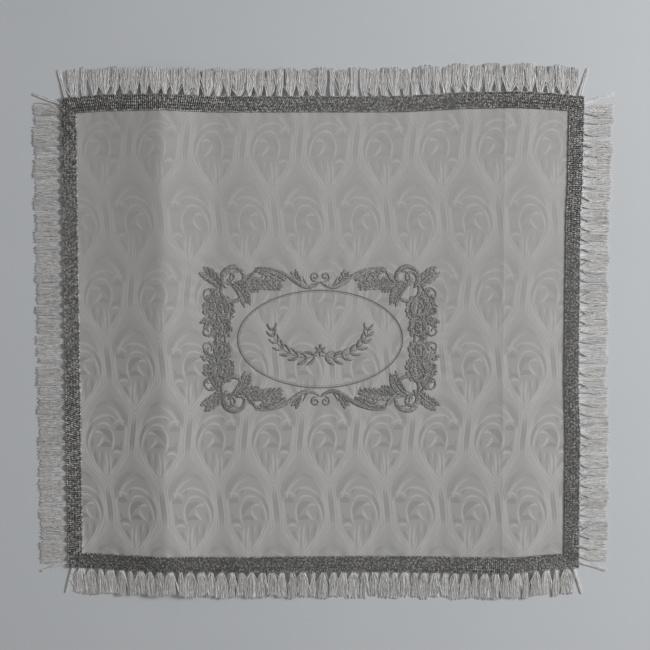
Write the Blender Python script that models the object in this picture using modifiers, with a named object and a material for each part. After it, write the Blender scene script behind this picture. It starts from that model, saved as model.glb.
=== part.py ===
# A fringed lectern cover of white damask, laid out flat: the cloth, the silver braid round it,
# the brush fringe on its four sides and the embroidered frame and oval in its middle.
# Metres, +Z up. +X is to the right and +Y to the top of the cloth as it is read.
# The origin is on the surface that the cover lies on, under the middle of the cloth.

import math

import bmesh
import bpy
from mathutils import Vector

MM = 0.001

# The cover's plan, from its middle to the outer edge of the braid.
HALF_WIDTH = 280 * MM
HALF_HEIGHT = 255 * MM
BRAID_WIDTH = 16 * MM
BRAID_THICK = 1.4 * MM
BRAID_CROWN = 0.5 * MM
CLOTH_THICK = 1.4 * MM
GAP = 0.35 * MM

# The cloth ends under the middle of the braid, and the fringe's heading lies beside its edge.
CLOTH_INSET = 8 * MM
HEADING_WIDTH = 7.3 * MM
CORNER_GAP = 0.25 * MM

# The folds that run from the top edge to the bottom edge. Each flank falls from the crest to the
# surface over its run. A power of 1 is a straight flank, and a higher one hollows towards its foot.
FOLD_COLUMNS = ("crest", "top_height", "bottom_height", "left_run", "left_power", "right_run",
                "right_power", "crest_round")
FOLD_ROWS = (
    (-172 * MM, 10.5 * MM, 10.5 * MM, 92 * MM, 1.5, 60 * MM, 1.4, 5 * MM),
    (-100 * MM, 5 * MM, 5 * MM, 165 * MM, 1.2, 160 * MM, 1.2, 24 * MM),
    (215 * MM, 2.4 * MM, 3.8 * MM, 84 * MM, 1.0, 64 * MM, 1.0, 12 * MM),
)
FOLDS = [dict(zip(FOLD_COLUMNS, row)) for row in FOLD_ROWS]

# Where the solids' columns stand on a flank, as shares of its run, and the least way between two.
FLANK_SHARES = (0.045, 0.11, 0.22, 0.4, 0.6, 0.8, 1.0)
COLUMN_LEAST = 3 * MM
LEVEL_ROW = 190 * MM

# Towards the top and bottom edges the folds sink a little, and the fringe hangs lower still.
DROOP_START = 225 * MM
DROOP_AT_EDGE = 0.84
DROOP_AT_TIPS = 0.45

# How far the top and bottom edges bulge out of the straight, along the cloth's width.
EDGE_COLUMNS = ("along", "top_out", "bottom_out")
EDGE_ROWS = (
    (-280 * MM, 0.0, 0.0),
    (-235 * MM, 3.1 * MM, 1.4 * MM),
    (-175 * MM, 2.0 * MM, 1.5 * MM),
    (-110 * MM, 0.4 * MM, 4.1 * MM),
    (90 * MM, 1.2 * MM, 4.7 * MM),
    (150 * MM, 4.8 * MM, 5.5 * MM),
    (205 * MM, 5.4 * MM, 5.4 * MM),
    (245 * MM, 3.3 * MM, 1.8 * MM),
    (280 * MM, 0.0, 0.0),
)
EDGES = [dict(zip(EDGE_COLUMNS, row)) for row in EDGE_ROWS]

# The shallow dent in the right edge, along the cloth's height.
DENT_COLUMNS = ("along", "right_out")
DENT_ROWS = (
    (-255 * MM, 0.0),
    (-110 * MM, 0.0),
    (-50 * MM, -2.6 * MM),
    (130 * MM, -2.6 * MM),
    (160 * MM, -1.0 * MM),
    (255 * MM, 0.0),
)
DENTS = [dict(zip(DENT_COLUMNS, row)) for row in DENT_ROWS]

# The fringe: tufts on a narrow root that fan out to their neighbours and stay a little apart.
SIDE_COLUMNS = ("name", "tufts", "length")
SIDE_ROWS = (
    ("top", 49, 31.2 * MM),
    ("bottom", 49, 30.8 * MM),
    ("left", 44, 32.5 * MM),
    ("right", 44, 32.5 * MM),
)
SIDES = [dict(zip(SIDE_COLUMNS, row)) for row in SIDE_ROWS]
TUFT_ROOT = 4.6 * MM
TUFT_GAP = 0.8 * MM
TUFT_FAN = 0.36
PARTING_FAN = 0.7
TUFT_SWAY = 0.9 * MM
TUFT_RAGGED = 0.7 * MM

# Steps of angle that never fall into a beat, so that no two tufts near each other are alike.
SWAY_STEP = 2.4
RAGGED_STEP = 1.9

# A point of a mesh is found in a table by its distance in mm, rounded to so many digits.
KEY_DIGITS = 3

# Where the fringe parts, as distances along the side, and how wide it stands open at its tips.
PARTING_COLUMNS = ("side", "along", "open")
PARTING_ROWS = (
    ("top", -248 * MM, 4.0 * MM),
    ("top", -199 * MM, 3.0 * MM),
    ("top", -45 * MM, 3.5 * MM),
    ("top", 13 * MM, 3.5 * MM),
    ("top", 33 * MM, 4.0 * MM),
    ("top", 173 * MM, 3.0 * MM),
    ("top", 190 * MM, 4.5 * MM),
    ("top", 241 * MM, 3.5 * MM),
    ("bottom", -252 * MM, 4.0 * MM),
    ("bottom", -222 * MM, 3.5 * MM),
    ("bottom", -45 * MM, 3.0 * MM),
    ("bottom", 13 * MM, 3.0 * MM),
    ("bottom", 212 * MM, 4.0 * MM),
    ("bottom", 256 * MM, 3.5 * MM),
    ("left", 224 * MM, 4.0 * MM),
    ("left", 71 * MM, 3.5 * MM),
    ("left", -8 * MM, 3.0 * MM),
    ("left", -30 * MM, 4.0 * MM),
    ("left", -185 * MM, 3.5 * MM),
    ("right", 202 * MM, 4.0 * MM),
    ("right", 49 * MM, 3.5 * MM),
    ("right", -30 * MM, 4.0 * MM),
    ("right", -164 * MM, 3.5 * MM),
    ("right", -214 * MM, 4.5 * MM),
)
PARTINGS = [dict(zip(PARTING_COLUMNS, row)) for row in PARTING_ROWS]

# The single locks at the two ends of each side: where the root is and how far the tip leans out.
LOCK_WIDTH = 3.4 * MM
LOCK_SHORTER = 2 * MM
LOCK_CLEAR = 1.2 * MM
LOCK_INSET = {"top": 275 * MM, "bottom": 275 * MM, "left": 244 * MM, "right": 244 * MM}
LOCK_LEAN = {"top": 8 * MM, "bottom": 9 * MM, "left": 12 * MM, "right": 10 * MM}

# The embroidered frame: a pierced band round a rectangle, with leaves on both its edges. Each leaf
# takes four steps round the band, and its two middle ones are pierced.
FRAME_HALF_WIDTH = 113 * MM
FRAME_HALF_HEIGHT = 66 * MM
FRAME_CORNER = 22 * MM
FRAME_OUT = 9.5 * MM
FRAME_IN = 6.4 * MM
FRAME_IN_AT_SIDES = 14.5 * MM
FRAME_LEAF = 5 * MM
FRAME_LEAVES = 24
LEAF_STEPS = 4
FRAME_CORNER_LEAF = 8 * MM
CORNER_LEAF_SPREAD = math.radians(28)
FRAME_ACROSS = (1.0, 0.4, -0.4, -1.0)
THREAD_THICK = 1.0 * MM

# The oval line inside the frame.
OVAL_HALF_WIDTH = 89.2 * MM
OVAL_HALF_HEIGHT = 52.8 * MM
OVAL_LINE = 2.4 * MM
OVAL_STEPS = 56
MOTIF_CENTRE = (-2 * MM, -4 * MM)

WHITE_DAMASK = {"colour": (0.62, 0.61, 0.59, 1.0), "roughness": 0.62, "metallic": 0.0}
SILVER_BRAID = {"colour": (0.30, 0.29, 0.27, 1.0), "roughness": 0.42, "metallic": 0.6}
WHITE_FRINGE = {"colour": (0.60, 0.59, 0.57, 1.0), "roughness": 0.45, "metallic": 0.0}
SILVER_THREAD = {"colour": (0.42, 0.41, 0.39, 1.0), "roughness": 0.38, "metallic": 0.5}


def clear_scene():
    for thing in list(bpy.data.objects):
        bpy.data.objects.remove(thing)


def made_finish(name, look):
    finish = bpy.data.materials.new(name)
    finish.use_nodes = True
    shader = finish.node_tree.nodes["Principled BSDF"]
    shader.inputs["Base Color"].default_value = look["colour"]
    shader.inputs["Roughness"].default_value = look["roughness"]
    shader.inputs["Metallic"].default_value = look["metallic"]
    return finish


def read_table(rows, column, along):
    """The value of a column at this distance, on a straight line from each row to the next."""
    if along <= rows[0]["along"]:
        return rows[0][column]
    for before, after in zip(rows, rows[1:]):
        if along <= after["along"]:
            share = (along - before["along"]) / (after["along"] - before["along"])
            return before[column] + share * (after[column] - before[column])
    return rows[-1][column]


def flank(distance, run, power, crest_round):
    """1 at the crest, rounded there, falling to 0 at the foot."""
    if distance >= run:
        return 0.0
    rounded = math.hypot(distance, crest_round) - crest_round
    whole = math.hypot(run, crest_round) - crest_round
    return (1 - rounded / whole) ** power


def droop(v):
    """How much of a fold's height is left this far from the middle of the cloth's height."""
    past = abs(v) - DROOP_START
    if past <= 0:
        return 1.0
    to_edge = HALF_HEIGHT - DROOP_START
    if past <= to_edge:
        return 1 - (1 - DROOP_AT_EDGE) * (past / to_edge) ** 2
    share = min((past - to_edge) / SIDES[0]["length"], 1.0)
    return DROOP_AT_EDGE + (DROOP_AT_TIPS - DROOP_AT_EDGE) * share


def fold_height(u, v):
    """How high the cloth's underside stands over the surface."""
    share = (v + HALF_HEIGHT) / (2 * HALF_HEIGHT)
    share = min(max(share, 0.0), 1.0)
    height = 0.0
    for fold in FOLDS:
        crest = fold["bottom_height"] + share * (fold["top_height"] - fold["bottom_height"])
        offset = u - fold["crest"]
        side = "left" if offset < 0 else "right"
        run, power = fold[side + "_run"], fold[side + "_power"]
        height += crest * flank(abs(offset), run, power, fold["crest_round"])
    return height * droop(v)


def laid(point):
    """A point of the flat pattern, moved to where it lies on the folded cloth."""
    u, v, lift = point
    reach_v = min(abs(v) / HALF_HEIGHT, 1.0) ** 3
    reach_u = min(max(u, 0.0) / HALF_WIDTH, 1.0) ** 3
    column = "top_out" if v > 0 else "bottom_out"
    out = read_table(EDGES, column, u) * reach_v
    x = u + read_table(DENTS, "right_out", v) * reach_u
    y = v + math.copysign(out, v)
    return Vector((x, y, lift + fold_height(u, v)))


def fold_columns(end):
    """Columns across the folds, close together at the crests, out to this distance each way."""
    stations = {-end, end, 0.0}
    stations.update(row["along"] for row in EDGES)
    margin = HALF_WIDTH - BRAID_WIDTH
    if end > margin:
        stations.update((-margin, margin))
    for fold in FOLDS:
        stations.add(fold["crest"])
        for side, sign in (("left", -1), ("right", 1)):
            for share in FLANK_SHARES:
                stations.add(fold["crest"] + sign * share * fold[side + "_run"])
    kept = sorted(s for s in stations if -end <= s <= end)
    columns = [kept[0]]
    for station in kept[1:]:
        if station - columns[-1] > COLUMN_LEAST:
            columns.append(station)
    columns[-1] = end
    return columns


def cross_rows(end):
    """Rows down the cloth, closer together where the folds droop, out to this distance each way."""
    half = [0.0, LEVEL_ROW, DROOP_START, HALF_HEIGHT - BRAID_WIDTH, end]
    rows = {row for station in half for row in (station, -station)}
    rows.update(dent["along"] for dent in DENTS if abs(dent["along"]) < end)
    return sorted(rows)


def grid_sheet(columns, rows, place):
    """A flat grid whose point at each column and row is moved to place(column, row)."""
    sheet = bmesh.new()
    bmesh.ops.create_grid(sheet, x_segments=len(columns) - 1, y_segments=len(rows) - 1, size=1.0)
    for vertex in sheet.verts:
        column = columns[round((vertex.co.x + 1) / 2 * (len(columns) - 1))]
        row = rows[round((vertex.co.y + 1) / 2 * (len(rows) - 1))]
        vertex.co = (*place(column, row), 0.0)
    return sheet


def thick_piece(name, sheet, underside, thickness, finish, crown=None):
    """Gives a flat sheet its thickness, lays it on the folds and keeps it as a named piece."""
    bmesh.ops.recalc_face_normals(sheet, faces=sheet.faces)
    sheet.normal_update()
    if next(iter(sheet.faces)).normal.z < 0:
        bmesh.ops.reverse_faces(sheet, faces=sheet.faces)
    flat = bpy.data.meshes.new(name + "_flat")
    sheet.to_mesh(flat)
    sheet.free()
    pattern = bpy.data.objects.new(name + "_pattern", flat)
    bpy.context.scene.collection.objects.link(pattern)
    wall = pattern.modifiers.new("thickness", "SOLIDIFY")
    wall.thickness = thickness
    wall.offset = 1.0
    wall.use_even_offset = False
    bpy.context.view_layer.update()
    evaluated = pattern.evaluated_get(bpy.context.evaluated_depsgraph_get())
    solid = bpy.data.meshes.new_from_object(evaluated)
    bpy.data.objects.remove(pattern)
    for vertex in solid.vertices:
        u, v, lift = vertex.co
        if crown and lift > thickness / 2:
            lift += crown(u, v)
        vertex.co = laid((u, v, lift + underside))
    solid.name = name
    solid.materials.clear()
    solid.materials.append(finish)
    piece = bpy.data.objects.new(name, solid)
    pieces.objects.link(piece)
    return piece


def make_cloth(finish):
    half_width = HALF_WIDTH - CLOTH_INSET
    half_height = HALF_HEIGHT - CLOTH_INSET
    sheet = grid_sheet(fold_columns(half_width), cross_rows(half_height), lambda u, v: (u, v))
    thick_piece("cloth_panel", sheet, 0.0, CLOTH_THICK, finish)


def on_side(side, along, out):
    """A point this far along a side and this far out from the cloth's middle."""
    if side == "top":
        return (along, out)
    if side == "bottom":
        return (along, -out)
    if side == "left":
        return (-out, along)
    return (out, along)


def make_braid(side, finish):
    """One length of braid, its ends cut at 45 degrees, with a low crown along its middle."""
    level = side in ("top", "bottom")
    edge = HALF_HEIGHT if level else HALF_WIDTH
    inner_end = (HALF_WIDTH if level else HALF_HEIGHT) - BRAID_WIDTH
    if level:
        stations = fold_columns(inner_end)
    else:
        stations = cross_rows(inner_end)
    middle = edge - BRAID_WIDTH / 2
    across = [edge - BRAID_WIDTH, middle, edge]

    def place(along, out):
        if along in (stations[0], stations[-1]):
            mitred = inner_end + (out - across[0]) - CORNER_GAP
            along = math.copysign(mitred, along)
        return on_side(side, along, out)

    def crown(u, v):
        out = abs(v) if level else abs(u)
        return BRAID_CROWN if abs(out - middle) < BRAID_WIDTH / 4 else 0.0

    sheet = grid_sheet(stations, across, place)
    thick_piece("braid_" + side, sheet, CLOTH_THICK + GAP, BRAID_THICK, finish, crown)


def tuft_bounds(side, half_run):
    """The line between each tuft and the next: where it meets the tips, and how wide it is there."""
    count = side["tufts"]
    pitch = 2 * half_run / count
    bounds = []
    for index in range(count + 1):
        along = -half_run + index * pitch
        opening = TUFT_GAP
        for parting in PARTINGS:
            if parting["side"] == side["name"] and abs(parting["along"] - along) <= pitch / 2:
                opening = parting["open"]
        sway = TUFT_SWAY * math.sin(SWAY_STEP * index + count)
        bounds.append({"along": along, "tip": along + sway, "open": opening})
    return bounds


def side_tufts(side, half_run, edge):
    """Each tuft as its root, its fanned shoulder and its tip: left, right and distance out."""
    bounds = tuft_bounds(side, half_run)
    heading = edge - CLOTH_INSET + GAP + HEADING_WIDTH
    tufts = []
    for index, (before, after) in enumerate(zip(bounds, bounds[1:])):
        centre = (before["along"] + after["along"]) / 2
        ragged = TUFT_RAGGED * (math.sin(RAGGED_STEP * index) - 1)
        tip = edge + side["length"] + ragged
        shoulder = edge + TUFT_FAN * side["length"]
        left = before["tip"] + before["open"] / 2
        right = after["tip"] - after["open"] / 2
        narrow_left = left - (before["open"] - TUFT_GAP) * (1 - PARTING_FAN)
        narrow_right = right + (after["open"] - TUFT_GAP) * (1 - PARTING_FAN)
        tufts.append([
            (centre - TUFT_ROOT / 2, centre + TUFT_ROOT / 2, heading),
            (narrow_left, narrow_right, shoulder),
            (left, right, tip),
        ])
    lean = LOCK_LEAN[side["name"]]
    inset = LOCK_INSET[side["name"]]
    half = LOCK_WIDTH / 2
    tip = edge + side["length"] - LOCK_SHORTER
    for sign in (-1, 1):
        root = (sign * inset - half, sign * inset + half, heading)
        end = (sign * (inset + lean) - half, sign * (inset + lean) + half, tip)
        middle = tuple((a + b) / 2 for a, b in zip(root, end))
        tufts.append([root, middle, end])
    return sorted(tufts)


def key_of(distance):
    return round(distance / MM, KEY_DIGITS)


def make_fringe(side, finish):
    """A heading strip with a flat grid of its own, and each tuft drawn out of it in two steps."""
    name = side["name"]
    level = name in ("top", "bottom")
    edge = HALF_HEIGHT if level else HALF_WIDTH
    half_run = LOCK_INSET[name] - LOCK_WIDTH / 2 - LOCK_CLEAR
    tufts = side_tufts(side, half_run, edge)
    heading_in = edge - CLOTH_INSET + GAP
    heading_out = heading_in + HEADING_WIDTH
    stations = [end for tuft in tufts for end in tuft[0][:2]]
    sheet = grid_sheet(stations, [heading_in, heading_out], lambda along, out: (along, out))
    sections = {}
    for tuft in tufts:
        sections[key_of(tuft[0][0])] = [(left, out) for left, right, out in tuft]
        sections[key_of(tuft[0][1])] = [(right, out) for left, right, out in tuft]
    rim = key_of(heading_out)
    outer = [e for e in sheet.edges if all(key_of(p.co.y) == rim for p in e.verts)]
    outer.sort(key=lambda e: min(p.co.x for p in e.verts))
    rims = outer[::2]
    keys = {p: key_of(p.co.x) for e in rims for p in e.verts}
    for step in (1, 2):
        starts = {(key_of(p.co.x), key_of(p.co.y)): key for p, key in keys.items()}
        drawn = bmesh.ops.extrude_edge_only(sheet, edges=rims)["geom"]
        points = [g for g in drawn if isinstance(g, bmesh.types.BMVert)]
        rims = [g for g in drawn if isinstance(g, bmesh.types.BMEdge)
                and all(p in points for p in g.verts)]
        keys = {p: starts[(key_of(p.co.x), key_of(p.co.y))] for p in points}
        for point, key in keys.items():
            along, out = sections[key][step]
            point.co = (along, out, 0.0)
    for point in sheet.verts:
        point.co = (*on_side(name, point.co.x, point.co.y), 0.0)
    thick_piece("fringe_" + name, sheet, 0.0, CLOTH_THICK, finish)


def frame_point(distance):
    """The point this far round a rectangle with round corners, the way out and the corner's turn."""
    half_sides = (FRAME_HALF_WIDTH, FRAME_HALF_HEIGHT)
    quarter = 0
    while True:
        out = half_sides[quarter % 2]
        straight = 2 * (half_sides[(quarter + 1) % 2] - FRAME_CORNER)
        whole = straight + FRAME_CORNER * math.pi / 2
        if distance < whole:
            break
        distance -= whole
        quarter += 1
    turn = max(distance - straight, 0.0) / FRAME_CORNER
    normal = Vector((math.cos(turn), math.sin(turn)))
    centre = Vector((out - FRAME_CORNER, min(distance, straight) - straight / 2))
    point = centre + normal * FRAME_CORNER
    for _ in range(quarter):
        point = Vector((-point.y, point.x))
        normal = Vector((-normal.y, normal.x))
    return point, normal, turn


def ring_sheet(loops):
    """A flat ring of faces from several closed loops of points, the outermost first."""
    sheet = bmesh.new()
    rows = [[sheet.verts.new((*point, 0.0)) for point in loop] for loop in loops]
    for outer, inner in zip(rows, rows[1:]):
        count = len(outer)
        for index in range(count):
            after = (index + 1) % count
            sheet.faces.new((outer[index], outer[after], inner[after], inner[index]))
    return sheet


def make_frame(finish):
    """The scalloped band, pierced under each leaf."""
    corners = 2 * math.pi * FRAME_CORNER
    straights = 4 * (FRAME_HALF_WIDTH + FRAME_HALF_HEIGHT - 2 * FRAME_CORNER)
    steps = FRAME_LEAVES * LEAF_STEPS
    loops = [[] for _ in FRAME_ACROSS]
    for step in range(steps):
        point, normal, turn = frame_point((corners + straights) * step / steps)
        leaf = FRAME_LEAF * abs(math.sin(math.pi * step / LEAF_STEPS))
        from_diagonal = abs(turn - math.pi / 4) / CORNER_LEAF_SPREAD
        corner = FRAME_CORNER_LEAF * max(0.0, 1 - from_diagonal)
        inner = FRAME_IN + (FRAME_IN_AT_SIDES - FRAME_IN) * normal.x ** 2
        for loop, share in zip(loops, FRAME_ACROSS):
            if share > 0:
                offset = share * (FRAME_OUT + leaf + corner)
            else:
                offset = share * (inner + leaf)
            loop.append(Vector(MOTIF_CENTRE) + point + normal * offset)
    sheet = ring_sheet(loops)
    sheet.faces.ensure_lookup_table()
    middle_row = range(steps, 2 * steps)
    pierced = [sheet.faces[index] for index in middle_row if index % LEAF_STEPS in (1, 2)]
    bmesh.ops.delete(sheet, geom=pierced, context="FACES")
    thick_piece("embroidered_frame", sheet, CLOTH_THICK + GAP, THREAD_THICK, finish)


def make_oval(finish):
    """The raised oval line, of one width all round."""
    loops = []
    for side in (1, -1):
        loop = []
        for step in range(OVAL_STEPS):
            angle = 2 * math.pi * step / OVAL_STEPS
            x = (OVAL_HALF_WIDTH + side * OVAL_LINE / 2) * math.cos(angle)
            y = (OVAL_HALF_HEIGHT + side * OVAL_LINE / 2) * math.sin(angle)
            loop.append(Vector(MOTIF_CENTRE) + Vector((x, y)))
        loops.append(loop)
    thick_piece("embroidered_oval", ring_sheet(loops), CLOTH_THICK + GAP, THREAD_THICK, finish)


clear_scene()
pieces = bpy.data.collections.new("lectern_cover")
bpy.context.scene.collection.children.link(pieces)
damask = made_finish("white_damask", WHITE_DAMASK)
braid = made_finish("silver_braid", SILVER_BRAID)
fringe = made_finish("white_fringe", WHITE_FRINGE)
thread = made_finish("silver_thread", SILVER_THREAD)

make_cloth(damask)
for side_row in SIDES:
    make_braid(side_row["name"], braid)
    make_fringe(side_row, fringe)
make_frame(thread)
make_oval(thread)
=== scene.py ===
# %% [markdown]
# # A white damask cloth with a silver braid and a fringe
#
# The cloth lies flat on a pale table, seen from above. It has two soft folds from how it was put
# away, a braid of metal thread sewn over its margin, a fringe that comes out from under the braid,
# and an embroidered frame round its middle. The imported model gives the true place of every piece;
# here each one is made again as threads and woven cloth.

import math

import bpy
import numpy as np
from mathutils import Euler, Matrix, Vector


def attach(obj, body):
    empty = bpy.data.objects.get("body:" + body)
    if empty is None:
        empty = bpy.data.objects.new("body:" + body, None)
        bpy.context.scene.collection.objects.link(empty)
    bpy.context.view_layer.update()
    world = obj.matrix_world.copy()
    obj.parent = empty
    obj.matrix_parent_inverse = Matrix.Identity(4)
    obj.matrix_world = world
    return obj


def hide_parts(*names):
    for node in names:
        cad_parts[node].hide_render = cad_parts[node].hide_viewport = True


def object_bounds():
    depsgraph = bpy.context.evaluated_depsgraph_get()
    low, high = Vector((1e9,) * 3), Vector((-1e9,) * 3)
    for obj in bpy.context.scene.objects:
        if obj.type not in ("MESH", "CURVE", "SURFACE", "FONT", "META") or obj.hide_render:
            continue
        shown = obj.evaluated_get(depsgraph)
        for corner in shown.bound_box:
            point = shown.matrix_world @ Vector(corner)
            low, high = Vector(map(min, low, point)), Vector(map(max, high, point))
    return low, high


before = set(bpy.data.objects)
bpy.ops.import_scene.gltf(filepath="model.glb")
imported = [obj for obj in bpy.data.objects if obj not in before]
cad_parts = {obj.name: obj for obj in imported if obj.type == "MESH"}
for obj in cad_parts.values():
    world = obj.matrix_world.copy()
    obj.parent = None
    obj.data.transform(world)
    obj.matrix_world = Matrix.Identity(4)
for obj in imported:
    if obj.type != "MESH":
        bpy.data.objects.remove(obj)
cad_low, cad_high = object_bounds()
print("packed nodes:", ", ".join(sorted(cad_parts)))
print("packed size in mm:", [round((b - a) * 1000, 1) for a, b in zip(cad_low, cad_high)])

# %% [markdown]
# ## Sizes
#
# A cloth is easiest to think of twice: flat, as it was cut, and then as it lies. Here u and v are
# distances on the flat cloth, u along its width and v along its height, both from its middle.
# A third number, the lift, is how far a point is above the underside of the cloth.

# %% The driving sizes
MM = 0.001
HALF_WIDTH = 280 * MM
HALF_HEIGHT = 255 * MM
CLOTH_INSET = 8 * MM
CLOTH_THICK = 1.4 * MM
BRAID_WIDTH = 16 * MM
HEADING_WIDTH = 7.3 * MM
GAP = 0.35 * MM
MOTIF_CENTRE = (-2 * MM, -4 * MM)
SIDE_NAMES = ("top", "bottom", "left", "right")

FOLD_COLUMNS = ("crest", "top", "bottom", "left_run", "left_power", "right_run", "right_power",
                "crest_round")
FOLD_ROWS = (
    (-172 * MM, 10.5 * MM, 10.5 * MM, 92 * MM, 1.5, 60 * MM, 1.4, 5 * MM),
    (-100 * MM, 5 * MM, 5 * MM, 165 * MM, 1.2, 160 * MM, 1.2, 24 * MM),
    (215 * MM, 2.4 * MM, 3.8 * MM, 84 * MM, 1.0, 64 * MM, 1.0, 12 * MM),
)
FOLDS = [dict(zip(FOLD_COLUMNS, row)) for row in FOLD_ROWS]
DROOP_START = 225 * MM
DROOP_AT_EDGE = 0.84
DROOP_AT_TIPS = 0.45
DROOP_TIPS = 31.2 * MM

# How far the edges bulge out of the straight: distance along in mm, then top and bottom in mm.
EDGE_ROWS = np.array((
    (-280, 0.0, 0.0), (-235, 3.1, 1.4), (-175, 2.0, 1.5), (-110, 0.4, 4.1), (90, 1.2, 4.7),
    (150, 4.8, 5.5), (205, 5.4, 5.4), (245, 3.3, 1.8), (280, 0.0, 0.0),
)) * MM
# The same for the right edge: distance up in mm, then the shift to the right in mm.
DENT_ROWS = np.array((
    (-255, 0.0), (-110, 0.0), (-50, -2.6), (130, -2.6), (160, -1.0), (255, 0.0),
)) * MM
print("cloth to the braid's edge in mm:", round(2 * HALF_WIDTH / MM), round(2 * HALF_HEIGHT / MM))

# %% [markdown]
# ## How the cloth lies
#
# A simulation could fold the cloth, but one that was pressed and put away keeps its creases in set
# places. So the lie is a formula: each fold is a ridge with two flanks, and the finer creases are
# low ridges with a sharp crest. Every piece on the cloth goes through the same formula, so nothing
# floats or sinks in.

# %% The lie of the cloth
PRESSED_LINE = 197 * MM
CREASE_COLUMNS = ("across", "place", "height", "reach")
CREASE_ROWS = (
    ("u", -2 * MM, 0.22 * MM, 5 * MM),
    ("u", PRESSED_LINE, 0.7 * MM, 3 * MM),
    ("v", 24 * MM, 0.14 * MM, 6 * MM),
)
CREASES = [dict(zip(CREASE_COLUMNS, row)) for row in CREASE_ROWS]
SOFT_WAVE = 0.16 * MM
# How fast the soft wave turns across the cloth, in its bend, and up the cloth, in radians a metre.
SOFT_ACROSS, SOFT_BEND, SOFT_UP = 61, 23, 47


def flank(distance, run, power, crest_round):
    """One side of a fold: 1 at the crest and 0 at the end of its run.

    The distance is rounded near 0, as the long side of a triangle with one fixed short side, and
    what is left of the run is raised to a power: above 1, the flank hangs in a hollow curve.
    """
    rounded = np.hypot(distance, crest_round) - crest_round
    whole = math.hypot(run, crest_round) - crest_round
    return np.clip(1 - rounded / whole, 0, 1) ** power


def fold_height(u, v):
    """The sum of the folds' ridges, which sink a little towards the top and bottom edges."""
    share = np.clip((v + HALF_HEIGHT) / (2 * HALF_HEIGHT), 0, 1)
    height = np.zeros(np.broadcast(u, v).shape)
    for fold in FOLDS:
        crest = fold["bottom"] + share * (fold["top"] - fold["bottom"])
        away = np.abs(u - fold["crest"])
        left = flank(away, fold["left_run"], fold["left_power"], fold["crest_round"])
        right = flank(away, fold["right_run"], fold["right_power"], fold["crest_round"])
        height = height + crest * np.where(u < fold["crest"], left, right)
    past = np.maximum(np.abs(v) - DROOP_START, 0)
    to_edge = HALF_HEIGHT - DROOP_START
    near = 1 - (1 - DROOP_AT_EDGE) * np.minimum(past / to_edge, 1) ** 2
    beyond = np.clip((past - to_edge) / DROOP_TIPS, 0, 1)
    return height * (near + (DROOP_AT_TIPS - DROOP_AT_EDGE) * beyond)


def crease_height(u, v):
    """Low ridges that fall off as e to the power of minus the distance, on a slow double wave."""
    wave = np.sin(u * SOFT_ACROSS + 1.3 * np.sin(v * SOFT_BEND)) * np.sin(v * SOFT_UP + 0.8)
    height = SOFT_WAVE * (1 + wave)
    for crease in CREASES:
        away = np.abs((u if crease["across"] == "u" else v) - crease["place"])
        height = height + crease["height"] * np.exp(-away / crease["reach"])
    return height


def laid(u, v, lift):
    """Points on the laid cloth: the flat place, shifted by the edges' bulges, and the height."""
    reach_v = np.minimum(np.abs(v) / HALF_HEIGHT, 1) ** 3
    reach_u = np.clip(u / HALF_WIDTH, 0, 1) ** 3
    top = np.interp(u, EDGE_ROWS[:, 0], EDGE_ROWS[:, 1])
    bottom = np.interp(u, EDGE_ROWS[:, 0], EDGE_ROWS[:, 2])
    dent = np.interp(v, DENT_ROWS[:, 0], DENT_ROWS[:, 1])
    x = u + dent * reach_u
    y = v + np.sign(v) * np.where(v > 0, top, bottom) * reach_v
    z = lift + fold_height(u, v) + crease_height(u, v)
    return np.stack(np.broadcast_arrays(x, y, z), axis=-1)


crests = [float(fold_height(fold["crest"], 0.0)) / MM for fold in FOLDS]
print("height at each fold's crest in mm:", np.round(crests, 1))

# %% [markdown]
# ## From arrays to meshes
#
# Each piece is either a sheet, which is a grid of points, or many threads, each a small profile
# carried along a path. Both are worked out as whole arrays and handed to Blender in one go, which
# is hundreds of times faster than adding faces one by one.

# %% A piece from arrays
def joined(parts):
    """Several meshes as one: points put end to end, and the faces' numbers moved along to suit."""
    sizes = np.cumsum([0] + [len(part["points"]) for part in parts])
    whole = {key: np.concatenate([part[key] for part in parts]) for key in ("points", "uv", "shade")}
    whole["quads"] = np.concatenate([part["quads"] + size for part, size in zip(parts, sizes)])
    return whole


def put_in(name, data):
    """A new object in the scene that shows this mesh, lamp or lens."""
    made = bpy.data.objects.new(name, data)
    bpy.context.scene.collection.objects.link(made)
    return made


def new_piece(name, part, finish, stands_for=()):
    """Makes a mesh object of points, four-cornered faces, a flat UV map and a shade per point."""
    quads = part["quads"]
    mesh = bpy.data.meshes.new(name)
    mesh.vertices.add(len(part["points"]))
    mesh.vertices.foreach_set("co", np.asarray(part["points"], np.float32).ravel())
    mesh.loops.add(quads.size)
    mesh.loops.foreach_set("vertex_index", quads.ravel().astype(np.int32))
    mesh.polygons.add(len(quads))
    mesh.polygons.foreach_set("loop_start", np.arange(0, quads.size, 4, dtype=np.int32))
    mesh.update(calc_edges=True)
    mesh.shade_smooth()
    flat = mesh.uv_layers.new(name="flat")
    flat.data.foreach_set("uv", np.asarray(part["uv"], np.float32).ravel())
    shade = mesh.attributes.new("shade", "FLOAT", "POINT")
    shade.data.foreach_set("value", np.asarray(part["shade"], np.float32))
    mesh.materials.append(finish)
    piece = put_in(name, mesh)
    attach(piece, "root")
    if stands_for:
        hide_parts(*stands_for)
    print(f"{name}: {2 * len(quads)} triangles")
    return piece


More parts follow.
